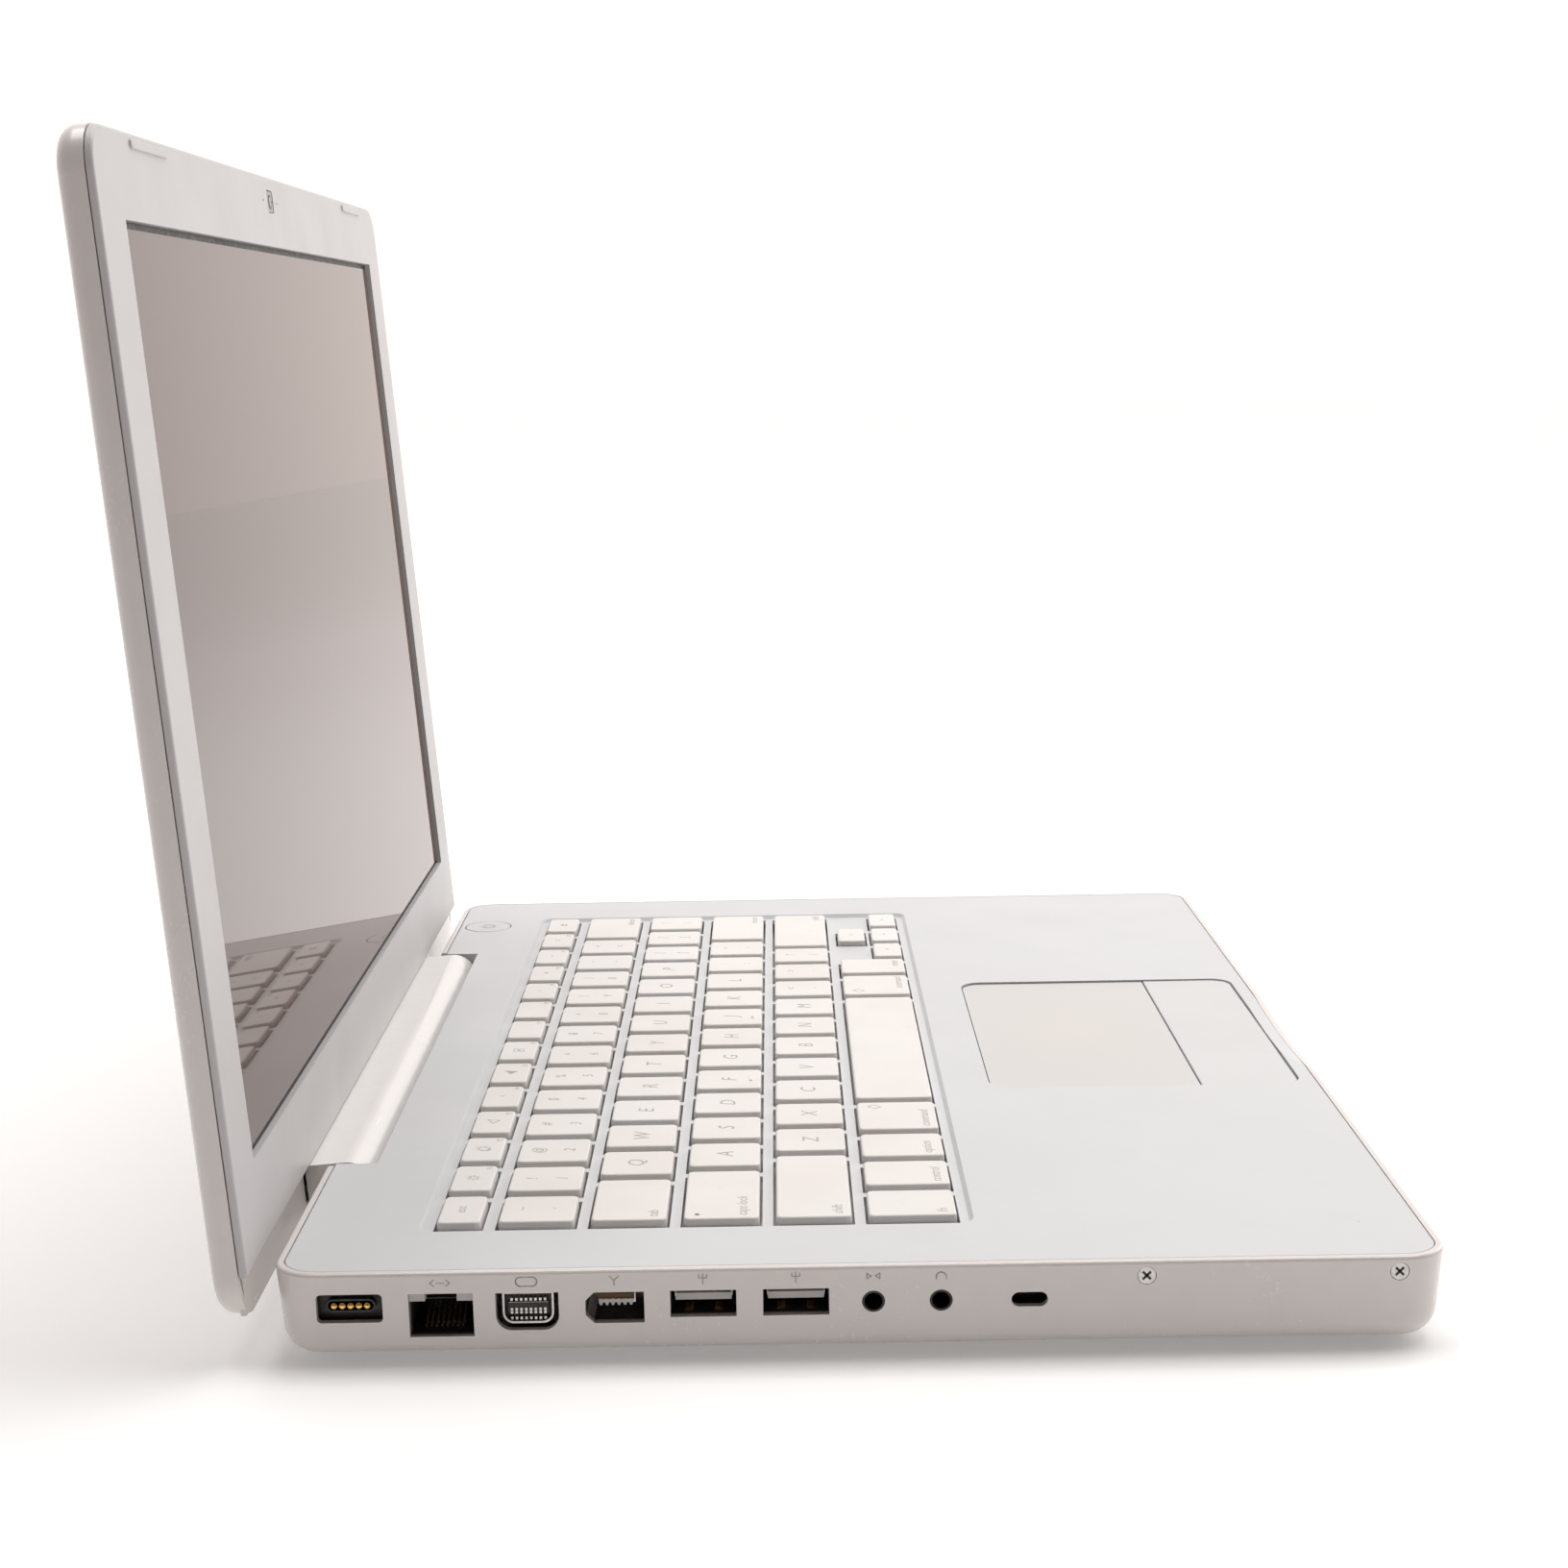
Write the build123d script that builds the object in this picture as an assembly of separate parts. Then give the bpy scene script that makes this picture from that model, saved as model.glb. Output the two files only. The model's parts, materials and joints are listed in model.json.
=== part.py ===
from build123d import *
import math
import os

# A 13 inch class clamshell laptop computer, standing open on a table.
# Millimetres. X runs across the width (+X is the user's right), +Y towards the hinge, +Z up.
# The origin is on the table, under the centre of the base.

# ---------------------------------------------------------------- driving dimensions
WIDTH = 325.0            # base and lid, across
DEPTH = 227.0            # base, front to rear
CLOSED_HEIGHT = 27.5     # table to the lid's back, shut
BASE_TOP = 19.2          # palm rest above the table
FOOT = 1.2               # rubber feet
LID_GAP = 0.9            # palm rest to bezel, shut
OPENING = 94.5           # lid angle at rest, from shut
HINGE_Y = 109.5
HINGE_Z = 12.7
CORNER = 9.0             # plan radius of the case corners
WALL = 1.6               # bottom case wall
FLOOR = 1.5              # bottom case floor
DRAFT = 5.0              # inward lean of the side walls, degrees
BELLY = 6.0              # round between side walls and underside
SEAM = 0.2               # visible gap between two covers
UNIT = 19.0              # key pitch across
ROW = 18.7               # key pitch front to rear
KEY_GAP = 3.4            # between two keys in a row
KEY_DEPTH = 15.5
KEY_PROUD = 0.6          # key tops above the palm rest
KEY_TRAVEL = 2.0
KEYBOARD_WIDTH = 14.5 * UNIT - KEY_GAP
NUMBER_ROW_REAR = 72.4   # rear edge of the number row
NOTCH_HALF = 95.5        # half width of the hinge notch
NOTCH_FRONT = 102.6

# ---------------------------------------------------------------- derived levels
UNDERSIDE = FOOT
HALF_W = WIDTH / 2
HALF_D = DEPTH / 2
DECK = 1.6                           # thickness of the top case
DECK_UNDER = BASE_TOP - DECK
WEB_TOP = BASE_TOP - 1.0             # key web, below the palm rest
WEB_UNDER = WEB_TOP - 1.2
KEY_TOP = BASE_TOP + KEY_PROUD
KEY_UNDER = WEB_UNDER
LEAN = math.tan(math.radians(DRAFT))
HINGE_AXIS = Axis((0, HINGE_Y, HINGE_Z), (1, 0, 0))
BEZEL_FACE = BASE_TOP + LID_GAP      # levels of the lid while it is shut
BEZEL_BACK = BEZEL_FACE + 1.5
LID_BACK = CLOSED_HEIGHT
LID_SKIN = 1.3
LID_REAR = HINGE_Y + 2.9             # lower edge of the open lid
BEZEL_REAR = HINGE_Y - 6.5
BOARD_UNDER = 6.6
BOARD_TOP = 7.8
PLATE_TOP = KEY_UNDER - KEY_TRAVEL - 0.3   # steel plate under the keys
PORT_FACE = -159.9                   # front face of the connectors, inside the left wall


# ---------------------------------------------------------------- helpers
def block(x0, x1, y0, y1, z0, z1):
    """A box between two corners."""
    middle = Pos((x0 + x1) / 2, (y0 + y1) / 2, (z0 + z1) / 2)
    return middle * Box(abs(x1 - x0), abs(y1 - y0), abs(z1 - z0))


def slab(x0, x1, y0, y1, z0, z1, r, taper=0.0):
    """A plate with rounded plan corners; it narrows downwards by the taper."""
    top = Plane(origin=((x0 + x1) / 2, (y0 + y1) / 2, z1), x_dir=(1, 0, 0), z_dir=(0, 0, -1))
    return extrude(top * RectangleRounded(x1 - x0, y1 - y0, r), amount=z1 - z0, taper=taper)


def disc(x, y, z0, z1, r):
    """An upright round."""
    return Pos(x, y, (z0 + z1) / 2) * Cylinder(r, z1 - z0)


def rod_x(x0, x1, y, z, r):
    """A round along X."""
    return Pos((x0 + x1) / 2, y, z) * Rot(0, 90, 0) * Cylinder(r, abs(x1 - x0))


def round_lower(shape, radius):
    """Round the two lower edges that run along X."""
    return fillet(shape.edges().filter_by(Axis.X).group_by(Axis.Z)[0], radius)


def opened(shape):
    """Turn a piece of the shut lid to the lid's place at rest."""
    return shape.rotate(HINGE_AXIS, -OPENING)


def top_edges(shape):
    return shape.edges().group_by(Axis.Z)[-1]


def bottom_edges(shape):
    return shape.edges().group_by(Axis.Z)[0]


def group(shapes):
    """Several equal solids kept in one node."""
    return Compound(children=[s.solids()[0] for s in shapes])


# ---------------------------------------------------------------- keyboard layout
def row_rear(index):
    """Rear edge of a key row; 0 is the number row, 4 the row of the space bar."""
    return NUMBER_ROW_REAR - index * ROW


def key_span(start, units):
    """Left and right edge of a key that starts this many units from the left end."""
    left = -KEYBOARD_WIDTH / 2 + start * UNIT
    return left, left + units * UNIT - KEY_GAP


def key_rect(start, units, row, depth=KEY_DEPTH, back=0.0):
    left, right = key_span(start, units)
    rear = row_rear(row) - back
    return left, right, rear - depth, rear


FUNCTION_DEPTH = 9.0
FUNCTION_FRONT = NUMBER_ROW_REAR + KEY_GAP
LAST_ROW_DEPTH = 18.0
ARROW_DEPTH = 8.1
ARROW_BACK = LAST_ROW_DEPTH - ARROW_DEPTH


def function_rects():
    """Fourteen half height keys share the width of the number row."""
    pitch = (KEYBOARD_WIDTH + KEY_GAP) / 14
    rects = []
    for i in range(14):
        left = -KEYBOARD_WIDTH / 2 + i * pitch
        rects.append((left, left + pitch - KEY_GAP, FUNCTION_FRONT, FUNCTION_FRONT + FUNCTION_DEPTH))
    return rects


def unit_rects(start, count, row, depth=KEY_DEPTH):
    return [key_rect(start + i, 1, row, depth) for i in range(count)]


KEYS = {
    "function_keys": function_rects(),
    "number_keys": unit_rects(0, 13, 0),
    "delete_key": [key_rect(13, 1.5, 0)],
    "tab_key": [key_rect(0, 1.5, 1)],
    "upper_letter_keys": unit_rects(1.5, 13, 1),
    "caps_lock_key": [key_rect(0, 1.75, 2)],
    "home_letter_keys": unit_rects(1.75, 11, 2),
    "return_key": [key_rect(12.75, 1.75, 2)],
    "left_shift_key": [key_rect(0, 2.25, 3)],
    "lower_letter_keys": unit_rects(2.25, 10, 3),
    "right_shift_key": [key_rect(12.25, 2.25, 3)],
    "modifier_keys": unit_rects(0, 3, 4, LAST_ROW_DEPTH) + unit_rects(10.5, 1, 4, LAST_ROW_DEPTH),
    "left_command_key": [key_rect(3, 1.25, 4, LAST_ROW_DEPTH)],
    "space_bar": [key_rect(4.25, 5, 4, LAST_ROW_DEPTH)],
    "right_command_key": [key_rect(9.25, 1.25, 4, LAST_ROW_DEPTH)],
    "left_arrow_key": [key_rect(11.5, 1, 4, ARROW_DEPTH, ARROW_BACK)],
    "down_arrow_key": [key_rect(12.5, 1, 4, ARROW_DEPTH, ARROW_BACK)],
    "right_arrow_key": [key_rect(13.5, 1, 4, ARROW_DEPTH, ARROW_BACK)],
    "up_arrow_key": [key_rect(12.5, 1, 4, ARROW_DEPTH)],
}


def key_cap(rect):
    """One cap: a shallow block that narrows a little towards its softened top."""
    x0, x1, y0, y1 = rect
    base = Pos((x0 + x1) / 2, (y0 + y1) / 2, KEY_UNDER)
    cap = base * extrude(RectangleRounded(x1 - x0, y1 - y0, 1.4), amount=KEY_TOP - KEY_UNDER, taper=3)
    return fillet(top_edges(cap), 0.45)


def key_hole(rect):
    """The hole of one key in the web, half a millimetre larger all round."""
    x0, x1, y0, y1 = rect
    return block(x0 - 0.5, x1 + 0.5, y0 - 0.5, y1 + 0.5, WEB_UNDER - 1, WEB_TOP + 1)


# ---------------------------------------------------------------- ports on the left wall
# rear edge, front edge, lower edge, upper edge of each opening in the wall
PORTS = {
    "power": (104.6, 91.9, 9.1, 15.0),
    "network": (86.9, 74.5, 5.9, 14.9),
    "video": (70.2, 58.1, 7.0, 14.8),
    "serial": (53.0, 41.7, 8.2, 14.6),
    "data_rear": (36.7, 24.0, 9.2, 14.7),
    "data_front": (18.9, 6.2, 9.2, 14.7),
}
CLIP_CHANNEL = 1.8
AUDIO_Y = (-2.3, -15.3)
AUDIO_Z = 11.8
AUDIO_BORE = 1.8
AUDIO_NOSE = 2.05
LOCK_SLOT_Y = -32.3
LOCK_SLOT_Z = 11.7
SCREWS = ((-54.7, 16.2), (-103.2, 16.2))
DISC_SLOT = (-100.0, 20.0, 9.2, 11.2)


def port_block(name, x0, x1, grow=0.0):
    rear, front, low, high = PORTS[name]
    return block(x0, x1, front - grow, rear + grow, low - grow, high + grow)


def port_window(name, x0, x1):
    """The window of a port in the wall, with the corners that suit its plug."""
    window = port_block(name, x0, x1)
    if name == "power":
        return fillet(window.edges().filter_by(Axis.X), 0.9)
    if name == "video":
        return round_lower(window, 3.0)
    if name == "serial":
        return chamfer(window.edges().filter_by(Axis.X).group_by(Axis.Y)[-1], 1.7)
    return window


def network_mouth(x0, x1):
    """The clear mouth of the network jack, with a narrow clip channel on top."""
    rear, front, low, high = PORTS["network"]
    middle = (rear + front) / 2
    channel = block(x0, x1, middle - 3, middle + 3, low, high)
    return block(x0, x1, front, rear, low, high - CLIP_CHANNEL) + channel


# ---------------------------------------------------------------- base, outer covers
BATTERY = (-68.0, 27.0, -104.0, 0.0)
BATTERY_TOP = 12.9
LOCK_X, LOCK_Y, LOCK_R = -20.0, 12.9, 8.0
BUTTON_X, BUTTON_Y, BUTTON_R = 130.0, 103.3, 6.75
PAD = (-47.0, 52.0, -107.8, -34.9)   # left, right, front of the button, rear of the pad
PAD_SPLIT = -84.4
PAD_CORNER = 5.0


def scoop():
    """The finger scoop: a very large round, tipped so that it runs out on the palm rest."""
    radius, half_width, depth = 520.0, 38.0, 1.4
    sag = radius - math.sqrt(radius**2 - half_width**2)
    centre_z = BASE_TOP + radius - max(sag, depth)
    cutter = Pos(0, -HALF_D, centre_z) * Rot(90, 0, 0) * Cylinder(radius, 30)
    return cutter.rotate(Axis((0, -HALF_D, BASE_TOP), (1, 0, 0)), 11)


def base_outline():
    """The base's outer block, before its edges are rounded."""
    return slab(-HALF_W, HALF_W, -HALF_D, HALF_D, UNDERSIDE, BASE_TOP, CORNER, DRAFT)


def bottom_case():
    outer = base_outline()
    outer = fillet(bottom_edges(outer), BELLY)
    outer = fillet(top_edges(outer), 0.7)
    inset_w, inset_d = HALF_W - WALL, HALF_D - WALL
    inner = slab(-inset_w, inset_w, -inset_d, inset_d, UNDERSIDE + FLOOR, BASE_TOP, CORNER - WALL, DRAFT)
    inner = fillet(bottom_edges(inner), BELLY - WALL)
    case = outer - inner
    case -= block(-NOTCH_HALF - 1.4, NOTCH_HALF + 1.4, NOTCH_FRONT, HALF_D + 1, 5.0, BASE_TOP + 1)
    left = -HALF_W - 1
    for name in PORTS:
        case -= port_window(name, left, -HALF_W + 5)
        case -= port_block(name, PORT_FACE - 0.1, -HALF_W + 7, 1.1)
    for y in AUDIO_Y:
        draft_hole = Cone(AUDIO_NOSE + 0.2, AUDIO_NOSE + 0.05, 6)
        case -= Pos(left + 3, y, AUDIO_Z) * Rot(0, 90, 0) * draft_hole
    slot = Plane(origin=(left, LOCK_SLOT_Y, LOCK_SLOT_Z), x_dir=(0, 1, 0), z_dir=(1, 0, 0))
    case -= extrude(slot * SlotOverall(7.0, 3.0), amount=6)
    for side in (-1, 1):
        for y, z in SCREWS:
            face = wall_face(z)
            case -= rod_x(side * (face - 0.9), side * (face + 2), y, z, 1.85)
            case -= rod_x(side * (face - 5), side * (face + 2), y, z, 1.1)
    y0, y1, z0, z1 = DISC_SLOT
    case -= block(HALF_W - 5, HALF_W + 1, y0, y1, z0, z1)
    x0, x1, y0, y1 = BATTERY
    case -= slab(x0 - 0.4, x1 + 0.4, y0 - 0.4, y1 + 0.4, 0, UNDERSIDE + FLOOR + 1, 4.4)
    case -= disc(LOCK_X, LOCK_Y, 0, UNDERSIDE + FLOOR + 1, LOCK_R + 0.3)
    case -= scoop()
    for x, y in foot_places():
        case -= disc(x, y, 0, UNDERSIDE + 0.4, 5.1)
    return case


def wall_face(z):
    """Distance of the side wall's outer face from the centre plane at a height."""
    return HALF_W - (BASE_TOP - z) * LEAN


def deck_lips():
    """Downturned edges of the top case around the hinge notch."""
    front = block(-NOTCH_HALF - 1.2, NOTCH_HALF + 1.2, NOTCH_FRONT - 1.2, NOTCH_FRONT, HINGE_Z, DECK_UNDER)
    lips = front
    for side in (-1, 1):
        edge = side * NOTCH_HALF
        lips += block(edge, edge + side * 1.2, NOTCH_FRONT - 1.2, HALF_D - 3.0, 7.5, DECK_UNDER)
    return lips


def screw_lugs():
    """Lugs under the top case that take the side screws."""
    lugs = []
    for side in (-1, 1):
        for y, z in SCREWS:
            reach = wall_face(z)
            lug = block(side * (reach - 6), side * (reach - 2.4), y - 3, y + 3, z - 2.4, DECK_UNDER)
            lugs.append(lug - rod_x(side * (reach - 5.2), side * reach, y, z, 1.0))
    return lugs


def top_case():
    inset = WALL + SEAM
    deck = slab(-HALF_W + inset, HALF_W - inset, -HALF_D + inset, HALF_D - inset,
                DECK_UNDER, BASE_TOP, CORNER - inset)
    deck = fillet(top_edges(deck), 0.25)
    half = KEYBOARD_WIDTH / 2
    front = row_rear(4) - LAST_ROW_DEPTH
    rear = FUNCTION_FRONT + FUNCTION_DEPTH
    well = slab(-half - 3.4, half + 3.4, front - 3.2, rear + 3.2, WEB_TOP, BASE_TOP + 0.01, 3.5, 40)
    tray = slab(-half - 4.4, half + 4.4, front - 4.2, rear + 4.2, WEB_UNDER, DECK_UNDER, 3.5)
    deck = deck + tray - well
    deck -= [key_hole(r) for rects in KEYS.values() for r in rects]
    deck -= block(-NOTCH_HALF, NOTCH_HALF, NOTCH_FRONT, HALF_D, DECK_UNDER - 1, BASE_TOP + 1)
    deck += deck_lips()
    deck += screw_lugs()
    x0, x1, y0, y1 = PAD
    deck -= slab(x0 - 0.4, x1 + 0.4, y0 - 0.4, y1 + 0.4, DECK_UNDER - 1, BASE_TOP + 1, PAD_CORNER + 0.4)
    deck -= disc(BUTTON_X, BUTTON_Y, DECK_UNDER - 1, BASE_TOP + 1, BUTTON_R + 0.3)
    return deck - scoop()


def rear_vent():
    """The trough under the hinge cover, slotted where the fan blows out."""
    inner, outer, half = 6.9, 8.0, 90.4
    ring = rod_x(-half, half, HINGE_Y, HINGE_Z, outer) - rod_x(-half - 1, half + 1, HINGE_Y, HINGE_Z, inner)
    ring &= block(-half, half, HINGE_Y - 9, HINGE_Y - 0.2, HINGE_Z - 9, HINGE_Z - 0.2)
    slots = []
    for i in range(11):
        x = 48.0 + 4.0 * i
        slots.append(block(x, x + 2.2, HINGE_Y - 9, HINGE_Y - 4.5, HINGE_Z - 6.5, HINGE_Z - 1.5))
    return ring - slots


def foot_places():
    return [(sx * 143.0, sy * 94.0) for sx in (-1, 1) for sy in (-1, 1)]


def feet():
    shapes = []
    for x, y in foot_places():
        foot = disc(x, y, 0, UNDERSIDE + 0.4, 5.0)
        shapes.append(fillet(bottom_edges(foot), 0.4))
    return group(shapes)


def case_screws():
    """Cross-head screws in the side walls, all alike."""
    shapes = []
    for side in (-1, 1):
        for y, z in SCREWS:
            face = wall_face(z)
            screw = rod_x(side * (face - 0.9), side * (face - 0.1), y, z, 1.72)
            screw += rod_x(side * (face - 5.0), side * (face - 0.9), y, z, 0.95)
            for turn in (45, 135):
                arm = Box(1.0, 2.2, 0.5).rotate(Axis.X, turn)
                screw -= Pos(side * (face - 0.1), y, z) * arm
            shapes.append(screw)
    return group(shapes)


# ---------------------------------------------------------------- base, connectors
def socket_shell(name, x_back, wall=0.4):
    """A thin shell around a port, open towards the outside, with a closed back and a foot."""
    rear, front, low, high = PORTS[name]
    body = port_block(name, PORT_FACE, x_back, wall)
    if low - wall > BOARD_TOP:
        body += block(PORT_FACE + 4, x_back, front, rear, BOARD_TOP, low)
    return body - block(PORT_FACE - 1, x_back - 1.0, front, rear, low, high)


def power_inlet():
    """A shallow magnetic inlet: a body with a recess and a raised bar of five contacts."""
    rear, front, low, high = PORTS["power"]
    middle_y, middle_z = (rear + front) / 2, (low + high) / 2
    body = port_block("power", PORT_FACE, PORT_FACE + 9, 0.6)
    body -= block(PORT_FACE - 1, PORT_FACE + 1.2, front, rear, low, high)
    bar = Plane(origin=(PORT_FACE - 0.3, middle_y, middle_z), x_dir=(0, 1, 0), z_dir=(1, 0, 0))
    body += extrude(bar * SlotOverall(9.4, 2.6), amount=1.6)
    for i in range(-2, 3):
        body += rod_x(PORT_FACE - 0.7, PORT_FACE, middle_y + i * 1.7, middle_z, 0.45)
    return body


def ethernet_jack():
    """A network jack with its clip channel on top and eight contact wires inside."""
    rear, front, low, _ = PORTS["network"]
    back = PORT_FACE + 16
    body = port_block("network", PORT_FACE, back, 1.0)
    body -= network_mouth(PORT_FACE - 1, back - 3)
    middle = (rear + front) / 2
    for i in range(8):
        y = middle + (i - 3.5) * 1.02
        body += block(PORT_FACE + 5, back - 2.5, y - 0.2, y + 0.2, low, low + 0.8)
    return body


def video_socket():
    """A small video socket: a metal shell round a tongue with rows of contacts."""
    rear, front, low, high = PORTS["video"]
    shell = socket_shell("video", PORT_FACE + 12, 0.5)
    inner = round_lower(block(PORT_FACE, PORT_FACE + 11.2, front + 1.1, rear - 1.1, low + 0.8, high - 0.6), 2.2)
    hollow = block(PORT_FACE - 1, PORT_FACE + 10.2, front + 1.5, rear - 1.5, low + 1.2, high - 1.0)
    inner -= round_lower(hollow, 1.8)
    middle = (low + high) / 2 + 0.1
    tongue = block(PORT_FACE + 0.8, PORT_FACE + 10.4, front + 2.2, rear - 2.2, middle - 0.8, middle + 0.8)
    return shell + inner + tongue


def serial_bus_socket():
    """A six-contact serial bus socket with two cut corners at one end and a contact tongue."""
    rear, front, low, high = PORTS["serial"]
    shell = socket_shell("serial", PORT_FACE + 12)
    middle = (low + high) / 2
    tongue = block(PORT_FACE + 1.0, PORT_FACE + 11.5, front + 1.8, rear - 3.2, middle, middle + 1.9)
    for z, turn in ((low, 45), (high, 45)):
        corner = Pos(PORT_FACE + 6, rear, z) * Box(12, 2.4, 2.4).rotate(Axis.X, turn)
        shell += corner & block(PORT_FACE, PORT_FACE + 12, rear - 3, rear, low, high)
    return shell + tongue


def data_sockets():
    """Two equal data sockets, each a shell with a contact tongue in its upper half."""
    shapes = []
    for name in ("data_rear", "data_front"):
        rear, front, low, high = PORTS[name]
        tongue = block(PORT_FACE + 1.2, PORT_FACE + 13.5, front + 0.8, rear - 0.8, high - 2.4, high - 0.6)
        shapes.append(socket_shell(name, PORT_FACE + 14) + tongue)
    return group(shapes)


def audio_jacks():
    """Two equal round audio jacks, each with a nose that fills its hole in the wall."""
    shapes = []
    for y in AUDIO_Y:
        body = block(PORT_FACE, PORT_FACE + 14, y - 3.6, y + 3.6, BOARD_TOP, 15.3)
        body += rod_x(-HALF_W - 1, PORT_FACE + 1, y, AUDIO_Z, AUDIO_NOSE) & base_outline()
        body -= rod_x(-HALF_W - 1, PORT_FACE + 13, y, AUDIO_Z, AUDIO_BORE)
        shapes.append(body)
    return group(shapes)


# ---------------------------------------------------------------- base, inner parts
FAN_X, FAN_Y = 70.0, 62.0
FAN_Z0, FAN_Z1 = 3.6, 13.0


def logic_board():
    board = block(-158.0, 36.0, 24.0, 98.0, BOARD_UNDER, BOARD_TOP)
    board += block(-158.0, -144.5, -22.0, 24.0, BOARD_UNDER, BOARD_TOP)
    board -= port_block("network", -162, PORT_FACE + 16.4, 1.3)
    board -= port_block("video", -162, PORT_FACE + 12.4, 0.8)
    chips = [
        (-14.0, 20.0, 61.0, 89.0, 1.0),
        (-64.0, -34.0, 62.0, 88.0, 1.8),
        (-138.0, -124.0, 30.0, 44.0, 1.4),
        (-136.0, -120.0, 64.0, 80.0, 1.2),
    ]
    for x0, x1, y0, y1, height in chips:
        board += block(x0, x1, y0, y1, BOARD_TOP, BOARD_TOP + height)
    return board


def memory_modules():
    """Two equal memory modules lying in their holders above the board."""
    shapes = []
    for x in (-112.0, -40.0):
        card = block(x, x + 67.6, 27.0, 57.0, 10.0, 11.0)
        for i in range(4):
            left = x + 3.5 + 16.0 * i
            card += block(left, left + 12.0, 33.0, 45.0, 11.0, 12.2)
        shapes.append(card + block(x, x + 67.6, 25.5, 29.0, BOARD_TOP, 10.0))
    return group(shapes)


def wireless_card():
    card = block(-104.0, -74.0, 60.0, 90.0, 9.0, 10.0) + block(-104.0, -74.0, 60.0, 64.0, BOARD_TOP, 9.0)
    return card + block(-100.0, -78.0, 66.0, 86.0, 10.0, 11.8)


def heat_sink():
    """A cold plate on the processor, a flat heat pipe and a fin stack behind the fan."""
    plate = block(-16.0, 22.0, 60.0, 90.0, BOARD_TOP + 1.0, BOARD_TOP + 2.6)
    pipe = block(-1.0, 7.0, 66.0, 98.4, BOARD_TOP + 2.6, 13.0)
    pipe += block(-1.0, 91.0, 91.0, 98.4, 10.8, 13.0)
    sink = plate + pipe + block(44.0, 91.0, 91.0, 98.4, 4.4, 5.0)
    for i in range(17):
        x = 44.0 + i * 2.9
        sink += block(x, x + 0.6, 91.0, 98.4, 4.4, 10.9)
    return sink


def fan_housing():
    """A flat blower case, open above round its hub and to the rear."""
    case = block(42.0, 98.0, 35.0, 90.4, FAN_Z0, FAN_Z1)
    case -= disc(FAN_X, FAN_Y, FAN_Z0 + 1.0, FAN_Z1 - 0.8, 25.5)
    case -= block(46.0, 94.0, FAN_Y, 91.0, FAN_Z0 + 1.0, FAN_Z1 - 0.8)
    case -= disc(FAN_X, FAN_Y, FAN_Z1 - 1.0, FAN_Z1 + 1.0, 17.0)
    return case + disc(FAN_X, FAN_Y, FAN_Z0 + 0.5, FAN_Z0 + 6.0, 1.5)


def fan_rotor():
    """A cup on the fan's axle with backward leaning blades."""
    hub = disc(FAN_X, FAN_Y, FAN_Z0 + 1.4, FAN_Z1 - 1.1, 9.0)
    for i in range(13):
        blade = Pos(FAN_X + 15.5, FAN_Y, FAN_Z0 + 5.0) * Rot(0, 0, 28) * Box(16.5, 1.0, 6.4)
        hub += blade.rotate(Axis((FAN_X, FAN_Y, 0), (0, 0, 1)), i * 360 / 13)
    return hub - disc(FAN_X, FAN_Y, FAN_Z0 + 1.0, FAN_Z0 + 6.3, 1.55)


def hard_drive():
    body = block(-142.0, -72.15, -106.5, -6.5, 3.6, 13.1)
    return fillet(body.edges().filter_by(Axis.Z), 2.0)


def optical_drive():
    """A slot loading drive; its slot faces the one in the right wall."""
    y0, y1, z0, z1 = DISC_SLOT
    body = block(30.5, 157.0, -107.0, 21.0, 3.6, 13.1)
    return body - block(40.0, 158.0, y0, y1, z0, z1)


def speakers():
    shapes = []
    for side in (-1, 1):
        box = block(side * 100.0, side * 132.0, 98.4, 109.4, 7.2, 14.4)
        shapes.append(fillet(box.edges().filter_by(Axis.Z), 3.0))
    return group(shapes)


def internal_frame():
    """The frame under the palm rest, with the wall of the battery bay."""
    x0, x1, y0, y1 = BATTERY
    plate = block(-156.0, 156.0, -109.0, 23.0, 13.3, 13.9)
    plate -= block(-157.0, -144.5, -24.0, 24.0, 13, 14)
    wall = slab(x0 - 1.6, x1 + 1.6, y0 - 1.4, y1 + 1.6, UNDERSIDE + FLOOR + 0.1, 13.3, 5)
    wall -= slab(x0 - 0.4, x1 + 0.4, y0 - 0.4, y1 + 0.4, 0, 13.3, 4.4)
    return plate + wall


def keyboard_plate():
    half = KEYBOARD_WIDTH / 2 + 3.0
    plate = slab(-half, half, row_rear(4) - LAST_ROW_DEPTH - 3, FUNCTION_FRONT + FUNCTION_DEPTH + 3, 14.1, PLATE_TOP, 3)
    return plate


def trackpad_plate():
    x0, x1, y0, y1 = PAD
    pad = slab(x0, x1, y0, y1, DECK_UNDER - 0.8, BASE_TOP - 0.5, PAD_CORNER)
    return pad - block(x0 - 1, x1 + 1, y0 - 1, PAD_SPLIT + 0.15, 0, BASE_TOP + 1)


def trackpad_button():
    x0, x1, y0, y1 = PAD
    button = slab(x0, x1, y0, y1, DECK_UNDER - 0.8, BASE_TOP - 0.3, PAD_CORNER)
    button -= block(x0 - 1, x1 + 1, PAD_SPLIT - 0.25, y1 + 1, 0, BASE_TOP + 1)
    return fillet(top_edges(button), 0.3)


def power_button():
    button = disc(BUTTON_X, BUTTON_Y, DECK_UNDER - 1.0, BASE_TOP + 0.1, BUTTON_R)
    return fillet(top_edges(button), 0.35)


def battery():
    x0, x1, y0, y1 = BATTERY
    pack = slab(x0, x1, y0, y1, UNDERSIDE, BATTERY_TOP, 4.0)
    return fillet(bottom_edges(pack), 0.3)


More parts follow.
